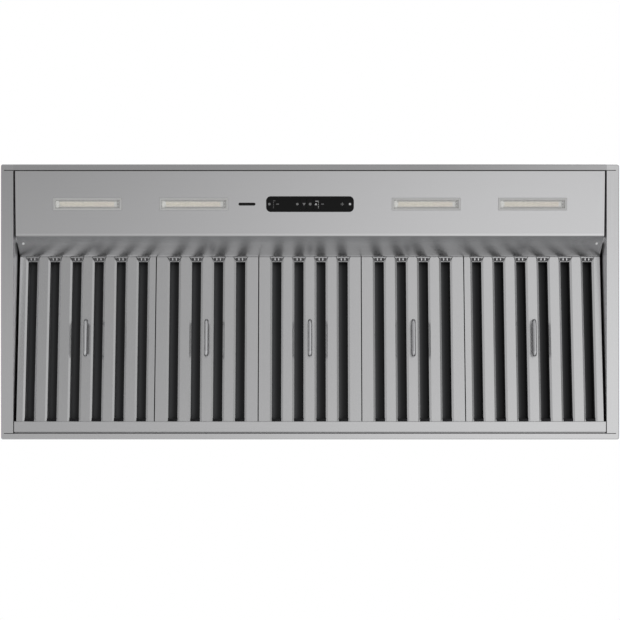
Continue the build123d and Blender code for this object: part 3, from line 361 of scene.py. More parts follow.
@dataclass(frozen=True)
class SlotShade:
    """Painted light and shade behind each slot of one filter, lighter at the left and falling to darker at the
    right.
    """

    middle: float
    light_side: float = -0.013
    dark_side: float = 0.004
    lightest: float = 2.0
    darkest: float = 0.4
    bend: float = 2.0

    def behind(self, recipe: Recipe, light: Colour) -> Socket:
        """Painted light and shade behind the slots, whose tones are factors of the light colour."""
        start, end = self.light_side / SLOT_PITCH, self.dark_side / SLOT_PITCH
        nearness = recipe.remap(slot_place(recipe, self.middle), 1.0, 0.0, start, end)
        falling = recipe.combine("POWER", nearness, self.bend)
        return recipe.blend(falling, shade(light, self.darkest), shade(light, self.lightest))


@dataclass(frozen=True)
class Zone(Shade):
    """Painted light and shade across a plane parallel to the filters' faces: one tone below it and another above,
    where |X| is under a reach.
    """

    height: float
    below: float | SlotShade
    above: float
    reach: float = 1.0

    def tint(self, recipe: Recipe, colour: Socket, light: Colour) -> Socket:
        """Colour with the zone's painted light and shade."""
        slotted = isinstance(self.below, SlotShade)
        below = self.below.behind(recipe, light) if slotted else shade(light, self.below)
        above = recipe.combine("GREATER_THAN", face_lift(recipe), self.height)
        near = recipe.combine("LESS_THAN", recipe.aside("X"), self.reach)
        return recipe.blend(near, colour, recipe.blend(above, below, shade(light, self.above)))


@dataclass(frozen=True)
class BendShade(Shade):
    """Painted highlights and shade on the light panel's bend, and its roughness: painted highlights on its crest and
    its nose, and painted shade that fades out along its rise, which is also duller.
    """

    crest_edge: float = -0.1642
    crest_highlight: float = 1.09
    rise_edge: float = -0.1592
    rise_reach: float = 0.0192
    rise_shade_start: float = 0.60
    rise_dullness: float = 0.05
    nose_edge: float = -0.1128
    nose_highlight: float = 1.35

    def beyond(self, recipe: Recipe, edge: float) -> Socket:
        """1 behind an edge that runs across the panel, and 0 ahead of it."""
        return recipe.combine("GREATER_THAN", recipe.axis("Y"), edge)

    def tint(self, recipe: Recipe, colour: Socket, light: Colour) -> Socket:
        """Colour with the bend's painted highlights and painted shade."""
        reach = (self.rise_edge, self.rise_edge + self.rise_reach)
        rise = recipe.blend(recipe.remap(recipe.axis("Y"), self.rise_shade_start, 1.0, *reach), BLACK, colour)
        rise = recipe.blend(self.beyond(recipe, self.nose_edge), rise, shade(light, self.nose_highlight))
        crest = recipe.blend(self.beyond(recipe, self.crest_edge), colour, shade(light, self.crest_highlight))
        return recipe.blend(self.beyond(recipe, self.rise_edge), crest, rise)

    def dull(self, recipe: Recipe, roughness: Socket) -> Socket:
        """Roughness with the rise duller."""
        duller = recipe.combine("MULTIPLY", self.beyond(recipe, self.rise_edge), self.rise_dullness)
        return recipe.combine("ADD", roughness, duller)


# -------- finishes
@dataclass(frozen=True)
class SatinSteel:
    """Brushed stainless sheet: fine lines and faint broad streaks."""

    name: str
    tone: Colour
    roughness: float
    grain: Grain
    shades: tuple[Shade, ...] = ()
    contrast: float = 0.03
    anisotropy: float = 0.0
    hairlines: Span = (2600.0, 18.0)
    streaks: Span = (420.0, 3.0)
    streak_share: float = 0.3
    spread: Span = (-0.02, 0.03)

    def lines(self, recipe: Recipe, across: float, along: float) -> Socket:
        """Noise drawn out along the grain.

        Args:
            recipe: The material being made.
            across: Lines per metre across the grain.
            along: Features per metre along it.

        Returns:
            The noise, from 0 to 1.
        """
        x_way = recipe.noise(recipe.scaled((along, across, across)), 1.0)
        y_way = recipe.noise(recipe.scaled((across, along, across)), 1.0)
        if self.grain is Grain.RAILS:
            return recipe.mix(recipe.combine("GREATER_THAN", recipe.aside("X"), RAIL_EDGE), x_way, y_way)
        return x_way if self.grain is Grain.ALONG_X else y_way

    def material(self) -> bpy.types.Material:
        """Make the finish."""
        recipe = Recipe(self.name)
        fine, broad = self.lines(recipe, *self.hairlines), self.lines(recipe, *self.streaks)
        mixed = recipe.mix(self.streak_share, fine, broad)
        dark, light = shade(self.tone, 1 - self.contrast), shade(self.tone, 1 + self.contrast)
        colour = recipe.blend(recipe.remap(mixed, 0.0, 1.0), dark, light)
        roughness = recipe.remap(mixed, *(self.roughness + step for step in self.spread))
        for special in self.shades:
            colour = special.tint(recipe, colour, light)
            roughness = special.dull(recipe, roughness)
        recipe.set(Metallic=1.0, Base_Color=colour, Roughness=roughness)
        if self.anisotropy > 0:
            along = recipe.add("CombineXYZ", {"Y": 1.0})
            recipe.set(Anisotropic=self.anisotropy, Tangent=along.outputs["Vector"])
        return recipe.material


@dataclass(frozen=True)
class GalvanisedSheet:
    """Zinc-coated sheet with its flat crystals."""

    name: str
    tone: Colour
    crystal: float = 90.0
    stretch: Triple = (1.0, 1.25, 1.1)
    frost: float = 700.0
    frost_share: float = 0.3
    frost_depth: float = 0.00001
    metallic: float = 0.85
    factors: Span = (0.86, 1.12)
    polish: Span = (0.34, 0.52)

    def material(self) -> bpy.types.Material:
        """Make the finish."""
        recipe = Recipe(self.name)
        spangle = recipe.cells(recipe.scaled(self.stretch), self.crystal)
        frost = recipe.noise(recipe.position, self.frost)
        mixed = recipe.mix(self.frost_share, spangle, frost)
        colour = recipe.blend(mixed, *(shade(self.tone, factor) for factor in self.factors))
        roughness = recipe.remap(mixed, *self.polish, 0.0, 1.0)
        recipe.set(Metallic=self.metallic, Base_Color=colour, Roughness=roughness)
        recipe.emboss(frost, self.frost_depth)
        return recipe.material


@dataclass(frozen=True)
class Moulding:
    """Plastic or paint with a faint cloud in its tone, and with pores where they have a depth."""

    name: str
    tone: Colour
    roughness: float
    pores: float = 900.0
    depth: float = 0.00001
    gloss: float = 0.5
    metallic: float = 0.0
    opacity: float = 1.0
    cloud: float = 30.0
    factors: Span = (0.94, 1.06)
    spread: Span = (-0.04, 0.04)

    def material(self) -> bpy.types.Material:
        """Make the finish."""
        recipe = Recipe(self.name)
        cloud = recipe.noise(recipe.position, self.cloud)
        colour = recipe.blend(cloud, *(shade(self.tone, factor) for factor in self.factors))
        roughness = recipe.remap(cloud, *(self.roughness + step for step in self.spread))
        recipe.set(Metallic=self.metallic, Specular_IOR_Level=self.gloss, Alpha=self.opacity)
        recipe.set(Base_Color=colour, Roughness=roughness)
        if self.depth > 0:
            recipe.emboss(recipe.noise(recipe.position, self.pores), self.depth)
        return recipe.material


@dataclass(frozen=True)
class PolishedSteel(Moulding):
    """Polished rod or screw head with faint haze."""

    depth: float = 0.0
    metallic: float = 1.0
    cloud: float = 220.0
    factors: Span = (0.97, 1.03)
    spread: Span = (-0.02, 0.04)


@dataclass(frozen=True)
class ClearLens(Moulding):
    """Lamp lens that the strip behind it shows through."""

    depth: float = 0.0
    opacity: float = 0.28
    cloud: float = 400.0
    factors: Span = (0.97, 1.0)
    spread: Span = (-0.06, 0.06)


@dataclass
class Finishes:
    """The finishes of the insert, made once and shared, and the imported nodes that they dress."""

    nodes: dict[str, bpy.types.Object]
    made: dict[str, bpy.types.Material] = field(default_factory=dict)

    def build(self) -> None:
        """Make every finish."""
        recipes = [
            # The trim carries painted shade on its front lip and dark lines in its corner seams.
            SatinSteel("steel_trim", (0.47, 0.47, 0.475), 0.20, Grain.RAILS, (LipShade(), SeamShade())),
            # The light panel's bend carries painted highlights on its crest and nose and painted shade on its rise.
            SatinSteel("steel_panel", (0.432, 0.432, 0.437), 0.12, Grain.ALONG_X, (BendShade(),), 0.02, 0.3),
            # Crimps and folds are painted darker than the filters' steel, as shade in the squeezed slot ends and
            # their corners.
            SatinSteel("steel_crimp", (0.11, 0.11, 0.113), 0.20, Grain.ALONG_Y),
            SatinSteel("steel_fold", (0.075, 0.075, 0.077), 0.30, Grain.ALONG_Y),
            SatinSteel("steel_ledge", (0.45, 0.45, 0.455), 0.20, Grain.ALONG_X),
            SatinSteel("steel_wall", (0.52, 0.52, 0.525), 0.34, Grain.ALONG_X),
            # The side walls' inner faces get painted light below the filters' faces and painted shade above them, in
            # the gap beside the filters.
            SatinSteel("steel_side", (0.52, 0.52, 0.525), 0.42, Grain.ALONG_Y, (Zone(-0.004, 1.78, 0.35, 0.7121),)),
            SatinSteel("spring_steel", (0.32, 0.32, 0.33), 0.30, Grain.ALONG_X),
            PolishedSteel("polished_rod", (0.46, 0.46, 0.47), 0.20),
            PolishedSteel("screw_bright", (0.92, 0.92, 0.92), 0.38),
            GalvanisedSheet("zinc_sheet", (0.42, 0.43, 0.44)),
            GalvanisedSheet("wheel_sheet", (0.50, 0.51, 0.52), 160.0),
            Moulding("control_black", (0.004, 0.004, 0.004), 0.20, gloss=0.10),
            Moulding("button_black", (0.005, 0.005, 0.005), 0.26, gloss=0.10),
            Moulding("print_grey", (0.17, 0.17, 0.17), 0.55, gloss=0.14),
            Moulding("print_white", (0.46, 0.46, 0.46), 0.55, gloss=0.14),
            Moulding("window_black", (0.004, 0.004, 0.004), 0.15, gloss=0.14),
            Moulding("bezel_grey", (0.46, 0.46, 0.455), 0.40),
            Moulding("tray_white", (0.78, 0.78, 0.76), 0.50),
            Moulding("strip_cream", (0.84, 0.78, 0.66), 0.55),
            Moulding("strip_rose", (0.84, 0.75, 0.65), 0.55),
            Moulding("diode_yellow", (0.84, 0.77, 0.58), 0.35),
            Moulding("block_white", (0.92, 0.92, 0.90), 0.45),
            # A thin grey line round each lamp bezel, standing in for the shade at its edges.
            Moulding("shade_line_grey", (0.30, 0.30, 0.30), 0.6),
            Moulding("board_green", (0.03, 0.16, 0.07), 0.45),
            Moulding("case_ivory", (0.66, 0.65, 0.61), 0.50),
            Moulding("motor_paint", (0.030, 0.030, 0.032), 0.45, 500.0, 0.00003),
            Moulding("wire_black", (0.02, 0.02, 0.02), 0.5),
            ClearLens("lamp_lens", (0.80, 0.80, 0.78), 0.28),
        ]
        for number, middle in enumerate(FILTER_MIDDLES, start=1):
            # The baffles' steel is painted near black as shade inside the filters, with painted light and shade
            # behind each slot, and is seven times lighter above their backs.
            back = Zone(BAFFLE_BACK, SlotShade(middle), 7.0)
            recipes += [
                SatinSteel(f"steel_filter_{number}", (0.49, 0.49, 0.495), 0.24, Grain.ALONG_Y, (RearShade(middle),)),
                SatinSteel(f"steel_baffle_{number}", (0.060, 0.061, 0.063), 0.40, Grain.ALONG_Y, (back,)),
            ]
        for recipe in recipes:
            self.made[recipe.name] = recipe.material()
        LOG.info("finishes: %d", len(self.made))

    def dress(self, finish: str, *names: str) -> None:
        """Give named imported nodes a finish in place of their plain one."""
        for name in names:
            materials = self.nodes[name].data.materials
            materials.clear()
            materials.append(self.made[finish])

    def piece(self, name: str, shape: Shape, finish: str, body: str, slot: str) -> None:
        """Turn a shape into a piece that rides on a body.

        Args:
            name: Name of the piece.
            shape: Its mesh, in place, which is freed here.
            finish: Name of its finish.
            body: The body that it moves with.
            slot: The record's material slot that it belongs to; not used.
        """
        bmesh.ops.recalc_face_normals(shape, faces=shape.faces)
        mesh = as_mesh(name, shape)
        mesh.materials.append(self.made[finish])
        piece = add_object(name, mesh)
        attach(piece, body)
        LOG.info("piece %s: %d faces", name, len(mesh.polygons))


# -------- shaping
def add_block(shape: Shape, size: Triple, place: Matrix, soften: float = 0.0) -> None:
    """Add a block to a shape.

    Args:
        shape: The mesh to add to.
        size: Length along X, Y and Z before it is placed.
        place: Where its centre goes.
        soften: Radius of its edges, 0 for sharp ones.
    """
    made = bmesh.ops.create_cube(shape, size=1.0, matrix=place @ Matrix.Diagonal((*size, 1.0)))
    if soften > 0:
        edges = list(dict.fromkeys(edge for vert in made["verts"] for edge in vert.link_edges))
        rounding = {"segments": 2, "profile": 0.5, "affect": "EDGES", "material": -1}
        bmesh.ops.bevel(shape, geom=edges, offset=soften, offset_type="OFFSET", **rounding)


def add_disc(shape: Shape, radius: float, height: float, place: Matrix, sides: int) -> None:
    """Add a short cylinder whose base centre is at a place, rising along its local Z.

    Args:
        shape: The mesh to add to.
        radius: Its radius.
        height: Its height.
        place: Where its base centre goes.
        sides: Number of sides.
    """
    middle = place @ Matrix.Translation((0, 0, height / 2))
    ends = {"radius1": radius, "radius2": radius, "depth": height}
    bmesh.ops.create_cone(shape, cap_ends=True, segments=sides, matrix=middle, **ends)


@dataclass(frozen=True)
class ScrewHead:
    """Domed screw head with a cross recess, whose sizes are shares of its radius and its height."""

    radius: float
    height: float
    round_from: float = 0.5
    dome: float = 0.75
    arm_width: float = 0.16
    arm_length: float = 0.48
    recess: float = 0.7
    cells: int = 7

    def in_cross(self, face: bmesh.types.BMFace) -> bool:
        """Whether a face of the head lies in its cross."""
        near, far = sorted(abs(distance) for distance in face.calc_center_median().xy)
        return near < self.radius * self.arm_width and far < self.radius * self.arm_length

    def mesh(self) -> bpy.types.Mesh:
        """Make one head, rising along Z from the centre of its underside."""
        head = bmesh.new()
        bmesh.ops.create_grid(head, x_segments=self.cells, y_segments=self.cells, size=self.radius)
        rim = [vert for vert in head.verts if vert.is_boundary]
        for vert in head.verts:
            reach = max(abs(vert.co.x), abs(vert.co.y))
            if reach > self.radius * self.round_from:
                vert.co *= reach / vert.co.length
        for vert in head.verts:
            fall = self.dome * (vert.co.length / self.radius) ** 2
            vert.co.z = self.height * math.sqrt(max(0.0, 1 - fall))
        cross = [face for face in head.faces if self.in_cross(face)]
        sunk = bmesh.ops.extrude_face_region(head, geom=cross)
        floor = [item for item in sunk["geom"] if isinstance(item, bmesh.types.BMVert)]
        bmesh.ops.translate(head, verts=floor, vec=(0, 0, -self.height * self.recess))
        bmesh.ops.delete(head, geom=cross, context="FACES")
        edges = [edge for edge in head.edges if edge.is_boundary and all(vert in rim for vert in edge.verts)]
        for item in bmesh.ops.extrude_edge_only(head, edges=edges)["geom"]:
            if isinstance(item, bmesh.types.BMVert):
                item.co.z = 0.0
        return as_mesh("screw_head", head)

    def at(self, spots: list[Triple]) -> Shape:
        """Shape with a head at each spot, which is where the centre of its underside goes."""
        mesh, shape = self.mesh(), bmesh.new()
        for spot in spots:
            before = set(shape.verts)
            shape.from_mesh(mesh)
            bmesh.ops.translate(shape, verts=[vert for vert in shape.verts if vert not in before], vec=spot)
        bpy.data.meshes.remove(mesh)
        return shape


# -------- sub-assemblies
@dataclass
class LightFace:
    """The sloping face that carries the lamps and the controls, whose buttons travel inward."""

    inward: Vector
    front: Vector = field(default_factory=lambda: Vector((0.0, -0.3146, 0.0008)))
    lamp_line: float = 0.080

    def place(self, x: float, off_line: float, depth: float) -> Matrix:
        """Placement on the face, with local X to the right, Y rearwards and Z into the housing.

        Args:
            x: Distance to the right of the middle.
            off_line: Distance rearwards of the lamps' centre line.
            depth: Distance into the housing.

        Returns:
            The placement.
        """
        rearward = Vector((0.0, self.inward.z, -self.inward.y))
        origin = self.front + rearward * (self.lamp_line + off_line) + self.inward * depth
        turn = Matrix((Vector((1, 0, 0)), rearward, self.inward)).transposed().to_4x4()
        return Matrix.Translation(origin + Vector((x, 0, 0))) @ turn


@dataclass
class Housing:
    """Trim frame, walls, top panel and the screws that hold them."""

    head: ScrewHead = ScrewHead(0.0042, 0.0016)
    screw_pitch: float = 0.155
    edge_inset: float = 0.009
    sheet: float = 0.001

    def dress(self, finishes: Finishes) -> None:
        """Give the sheet metal its finishes."""
        finishes.dress("steel_trim", "trim_frame")
        finishes.dress("steel_wall", "front_wall", "rear_wall")
        finishes.dress("steel_side", "left_wall", "right_wall")
        finishes.dress("zinc_sheet", "top_panel", "compartment_cover")
        finishes.dress("steel_ledge", "rear_ledge")
        finishes.dress("spring_steel", "catch_springs")

    def build(self, finishes: Finishes) -> None:
        """Add the screws round the top panel's edge."""
        low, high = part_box("top_panel")
        left, right = low.x + self.edge_inset, high.x - self.edge_inset
        front, rear = low.y + self.edge_inset, high.y - self.edge_inset
        across = max(2, round((high.x - low.x) / self.screw_pitch))
        along = max(2, round((high.y - low.y) / self.screw_pitch))
        top = low.z + self.sheet
        spots = []
        for step in range(across + 1):
            x = left + (right - left) * step / across
            spots += [(x, front, top), (x, rear, top)]
        for step in range(1, along):
            y = front + (rear - front) * step / along
            spots += [(left, y, top), (right, y, top)]
        finishes.piece("top_screws", self.head.at(spots), "screw_bright", "liner", "screw_steel")


@dataclass
class LampPanel:
    """Light panel, its screws, the four lamps and the sensor window."""

    face: LightFace
    lamp_count: int = 4
    lens_back: float = 0.0030
    strip_start: float = -0.0680
    strip_end: float = 0.0636
    strip_width: float = 0.0122
    strip_height: float = 0.0010
    strip_soften: float = 0.0002
    rose_share: float = 0.36
    diode_pitch: float = 0.0072
    diode_size: float = 0.0034
    diode_height: float = 0.0002
    block_start: float = -0.0772
    block_end: float = -0.0700
    block_width: float = 0.0170
    block_height: float = 0.0012
    neck_width: float = 0.0105
    neck_height: float = 0.0013
    overlap: float = 0.0035
    end_block: float = 0.0054
    pad_x: float = 0.0730
    pad_pitch: float = 0.0074
    pad_radius: float = 0.0017
    pad_height: float = 0.0006
    pad_sides: int = 16
    shade_line_width: float = 0.0007
    shade_line_height: float = 0.0002

    def dress(self, finishes: Finishes) -> None:
        """Give the panel and the lamps their finishes."""
        finishes.dress("steel_panel", "light_panel")
        finishes.dress("screw_bright", "panel_screws")
        for number in range(1, self.lamp_count + 1):
            finishes.dress("bezel_grey", f"light_bezel_{number}")
            finishes.dress("lamp_lens", f"light_lens_{number}")
        finishes.dress("tray_white", "led_strips")
        finishes.dress("window_black", "sensor_window")
        finishes.dress("case_ivory", "driver_box")

    def add_slabs(self, shapes: dict[str, Shape], lamp: float) -> None:
        """Add the strip of the lamp with a given middle, in two tones, with the blocks at its ends."""
        seam = self.strip_end - (self.strip_end - self.strip_start) * self.rose_share
        neck_end, end = self.strip_start + self.overlap, self.strip_end + self.end_block
        for name, left, right, width, height in (
            ("cream", self.strip_start, seam, self.strip_width, self.strip_height),
            ("rose", seam, self.strip_end, self.strip_width, self.strip_height),
            ("blocks", self.block_start, self.block_end, self.block_width, self.block_height),
            ("blocks", self.block_end, neck_end, self.neck_width, self.neck_height),
            ("ends", self.strip_end, end, self.strip_width, self.block_height),
        ):
            place = self.face.place(lamp + (left + right) / 2, 0.0, self.lens_back + height / 2)
            add_block(shapes[name], (right - left, width, height), place, self.strip_soften)

    def add_dots(self, shapes: dict[str, Shape], lamp: float) -> None:
        """Add the diodes and contact pads of the lamp with a given middle."""
        size = (self.diode_size, self.diode_size, self.diode_height)
        count = int((self.strip_end - self.strip_start) / self.diode_pitch)
        for step in range(count):
            x = lamp + self.strip_start + (step + 0.5) * (self.strip_end - self.strip_start) / count
            add_block(shapes["diodes"], size, self.face.place(x, 0.0, self.lens_back - self.diode_height / 2))
        for row in (-1, 0, 1):
            place = self.face.place(lamp + self.pad_x, row * self.pad_pitch, self.lens_back)
            add_disc(shapes["pads"], self.pad_radius, self.pad_height, place, self.pad_sides)

    def add_bezel_shade_line(self, shape: Shape, number: int) -> None:
        """Add the thin grey line round a lamp's bezel, which is painted shade at the bezel's edges."""
        low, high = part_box(f"light_bezel_{number}")
        middle, half_length = (low.x + high.x) / 2, (high.x - low.x) / 2
        half_width = (high.y - low.y) / 2
        strip, height = self.shade_line_width, self.shade_line_height
        for side in (-1, 1):
            across = self.face.place(middle, side * (half_width + strip / 2), -height / 2)
            add_block(shape, (2 * (half_length + strip), strip, height), across)
            upright = self.face.place(middle + side * (half_length + strip / 2), 0.0, -height / 2)
            add_block(shape, (strip, 2 * half_width, height), upright)

    def build(self, finishes: Finishes) -> None:
        """Add each lamp's strip with its diodes, end blocks and contact pads, and the painted shade line round its
        bezel.
        """
        pieces = (
            ("cream", "strip_cream", "led_strip"),
            ("rose", "strip_rose", "led_strip"),
            ("diodes", "diode_yellow", "led_strip"),
            ("blocks", "block_white", "led_strip"),
            ("ends", "tray_white", "led_strip"),
            ("pads", "wire_black", "led_strip"),
            ("bezel_shade_lines", "shade_line_grey", "sensor_black"),
        )
        shapes = {name: bmesh.new() for name, _, _ in pieces}
        for number in range(1, self.lamp_count + 1):
            low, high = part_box(f"light_lens_{number}")
            lamp = (low.x + high.x) / 2
            self.add_slabs(shapes, lamp)
            self.add_dots(shapes, lamp)
            self.add_bezel_shade_line(shapes["bezel_shade_lines"], number)
        for name, finish, slot in pieces:
            finishes.piece(f"lamp_{name}", shapes[name], finish, "liner", slot)


@dataclass
class ControlPanel:
    """Black control fascia, its five buttons and their printed marks."""

    face: LightFace
    depth: float = 0.004
    proud: float = 0.0006
    print_height: float = 0.00012
    dot_sides: int = 20
    dash_share: float = 0.5
    arm_share: float = 0.4
    tick_count: int = 5
    tick_length: float = 0.16
    tick_width: float = 0.22

    def dress(self, finishes: Finishes) -> None:
        """Give the fascia, buttons and board their finishes."""
        finishes.dress("control_black", "control_fascia")
        finishes.dress("board_green", "control_board")
        finishes.dress("button_black", *(f"button_{name}" for name in ("light", "down", "timer", "up", "power")))

    def add_mark(self, shape: Shape, mark: Mark, x: float, off_line: float, size: float, depth: float) -> None:
        """Add one printed mark.

        Args:
            shape: The mesh to add to.
            mark: Which mark it is.
            x: Distance to the right of the middle.
            off_line: Distance rearwards of the lamps' centre line.
            size: Its radius, or half its length.
            depth: Depth of the surface that it is printed on.
        """
        height = self.print_height
        place = self.face.place(x, off_line, depth - height)
        if mark is Mark.DOT:
            add_disc(shape, size, height, place, self.dot_sides)
        elif mark is Mark.DASH:
            add_block(shape, (2 * size, size * self.dash_share, height), place)
        elif mark is Mark.PLUS:
            add_block(shape, (2 * size, size * self.arm_share, height), place)
            add_block(shape, (size * self.arm_share, 2 * size, height), place)
        elif mark in (Mark.DOWN, Mark.UP):
            turn = 0.0 if mark is Mark.DOWN else math.pi
            add_disc(shape, size, height, place @ Matrix.Rotation(turn, 4, "Z"), 3)
        else:
            for step in range(self.tick_count):
                rise = (step - (self.tick_count - 1) / 2) * size / 2
                tick = self.face.place(x, off_line + rise, depth - height)
                add_block(shape, (size * self.tick_length, size * self.tick_width, height), tick)

    def build(self, finishes: Finishes) -> None:
        """Print the marks on the buttons and on the fascia between them."""
        button, plate = -self.depth - self.proud, -self.depth
        marks = (
            ("mark_light", "button_light_body", "print_grey", button, ((Mark.DOT, -0.0974, 0.0, 0.0031),
             (Mark.SCALE, -0.0876, 0.0005, 0.0082), (Mark.DASH, -0.0846, -0.0078, 0.0018))),
            ("mark_down", "button_down_body", "print_grey", button, ((Mark.DOWN, -0.0143, -0.0004, 0.0046),)),
            ("mark_timer", "button_timer_body", "print_grey", button, ((Mark.DOT, 0.0004, 0.0, 0.0034),)),
            ("mark_up", "button_up_body", "print_white", button, ((Mark.UP, 0.0142, 0.0005, 0.0036),
             (Mark.SCALE, 0.0202, 0.0010, 0.0080), (Mark.DASH, 0.0160, -0.0070, 0.0030))),
            ("mark_power", "button_power_body", "print_white", button, ((Mark.DOT, 0.0958, 0.0, 0.0028),)),
            ("marks_fascia", "liner", "print_grey", plate, ((Mark.DASH, -0.0777, 0.0, 0.0034),
             (Mark.DOT, -0.0304, 0.0, 0.0030), (Mark.DASH, 0.0302, 0.0, 0.0034), (Mark.PLUS, 0.0774, 0.0, 0.0040))),
        )
        for name, body, finish, depth, printed in marks:
            shape = bmesh.new()
            for mark, x, off_line, size in printed:
                self.add_mark(shape, mark, x, off_line, size, depth)
            finishes.piece(name, shape, finish, body, "gloss_black")


@dataclass
class BaffleFilter:
    """One sloping baffle filter, its handle and the crimped end of each of its slots."""

    number: int
    slots: int
    hinge: Vector
    face_rise: float = 0.0504
    crimp_start: float = 0.0019
    crimp_length: float = 0.0086
    start_width: float = 0.0316
    end_width: float = 0.0232
    start_depth: float = 0.0002
    end_depth: float = 0.0022
    ridge_height: float = 0.0016
    ridge_pitch: float = 0.0088
    smile: float = 0.0005
    fold_length: float = 0.0092
    fold_width: float = 0.0017
    fold_height: float = 0.0005
    fold_soften: float = 0.0001
    fold_reach: float = 0.0142
    fold_line: float = 0.0040
    fold_turn: float = 0.86
    sheet: float = 0.0005
    columns: int = 30
    rows: int = 8

    def dress(self, finishes: Finishes) -> None:
        """Give the filter its finishes."""
        finishes.dress(f"steel_filter_{self.number}", f"filter_{self.number}_pan")
        finishes.dress(f"steel_baffle_{self.number}", f"filter_{self.number}_baffles")
        finishes.dress("polished_rod", f"filter_{self.number}_handle")

    def edge_place(self, x: float, y: float) -> Matrix:
        """Placement at the face's front edge, with local Y rearwards along it and Z into the filter."""
        edge = Vector((x, y, self.hinge.z + self.face_rise))
        rearward = (Vector((x, self.hinge.y, self.hinge.z)) - edge).normalized()
        right = Vector((1, 0, 0))
        turn = Matrix((right, rearward, right.cross(rearward))).transposed().to_4x4()
        return Matrix.Translation(edge) @ turn

    def add_crimp(self, shape: Shape, place: Matrix) -> None:
        """Add the ridged end of one slot, where the sheet is squeezed together.

        Args:
            shape: The mesh to add to.
            place: Placement at the slot's front end.
        """
        made = bmesh.ops.create_grid(shape, x_segments=self.columns, y_segments=self.rows, size=0.5)
        for vert in made["verts"]:
            across, along = vert.co.x, vert.co.y + 0.5
            x = across * (self.start_width + (self.end_width - self.start_width) * along)
            ridge = self.ridge_height * math.cos(2 * math.pi * x / self.ridge_pitch) * math.sin(math.pi * along)
            depth = self.start_depth + (self.end_depth - self.start_depth) * along
            smile = self.smile * (4 * across * across - 1) * along
            vert.co = place @ Vector((x, self.crimp_start + self.crimp_length * along - smile, depth - ridge))
        faces = list(dict.fromkeys(face for vert in made["verts"] for face in vert.link_faces))
        bmesh.ops.solidify(shape, geom=faces, thickness=self.sheet)

    def add_folds(self, shape: Shape, place: Matrix) -> None:
        """Add the two tucked-in corners beside one slot's crimped end, whose dark finish is painted shade.

        Args:
            shape: The mesh to add to.
            place: Placement at the slot's front end.
        """
        size = (self.fold_length, self.fold_width, self.fold_height)
        for side in (-1, 1):
            corner = Matrix.Translation((side * self.fold_reach, self.fold_line, 0.0))
            turn = Matrix.Rotation(-side * self.fold_turn, 4, "Z")
            add_block(shape, size, place @ corner @ turn, self.fold_soften)

    def build(self, finishes: Finishes) -> None:
        """Add the crimped ends and their folds."""
        low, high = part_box(f"filter_{self.number}_pan")
        middle = (low.x + high.x) / 2
        crimps, folds = bmesh.new(), bmesh.new()
        for step in range(self.slots):
            place = self.edge_place(middle + (step - (self.slots - 1) / 2) * SLOT_PITCH, low.y)
            self.add_crimp(crimps, place)
            self.add_folds(folds, place)
        body = f"filter_{self.number}"
        # The crimps and folds are darker than the pan's steel: painted shade in the slot ends.
        finishes.piece(f"{body}_crimps", crimps, "steel_crimp", body, "stainless")
        finishes.piece(f"{body}_folds", folds, "steel_fold", body, "stainless")


@dataclass
class AirPath:
    """Blowers, motors, duct collars, dampers and the junction box."""

    head: ScrewHead = ScrewHead(0.0038, 0.0015)
    collar_screws: int = 8
    collar_inset: float = 0.010
    collar_flange: float = 0.0012
    cover_inset: float = 0.012

    def dress(self, finishes: Finishes) -> None:
        """Give the air path's pieces their finishes."""
        for side in ("left", "right"):
            finishes.dress("zinc_sheet", f"{side}_scroll", f"{side}_collar")
            finishes.dress("wheel_sheet", f"{side}_impeller", f"{side}_damper_front", f"{side}_damper_rear")
            finishes.dress("motor_paint", f"{side}_motor")
        finishes.dress("zinc_sheet", "motor_brackets", "damper_spindles", "junction_box", "junction_cover")

    def build(self, finishes: Finishes) -> None:
        """Add the screws in the collars' flanges and on the junction box's cover."""
        spots = []
        for side in ("left", "right"):
            low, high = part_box(f"{side}_collar")
            middle = (low + high) / 2
            reach = (high.x - low.x) / 2 - self.collar_inset
            for step in range(self.collar_screws):
                turn = 2 * math.pi * (step + 0.5) / self.collar_screws
                x, y = middle.x + reach * math.cos(turn), middle.y + reach * math.sin(turn)
                spots.append((x, y, low.z + self.collar_flange))
        low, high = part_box("junction_cover")
        for x in (low.x + self.cover_inset, high.x - self.cover_inset):
            spots.append((x, (low.y + high.y) / 2, high.z))
        finishes.piece("collar_screws", self.head.at(spots), "screw_bright", "liner", "screw_steel")


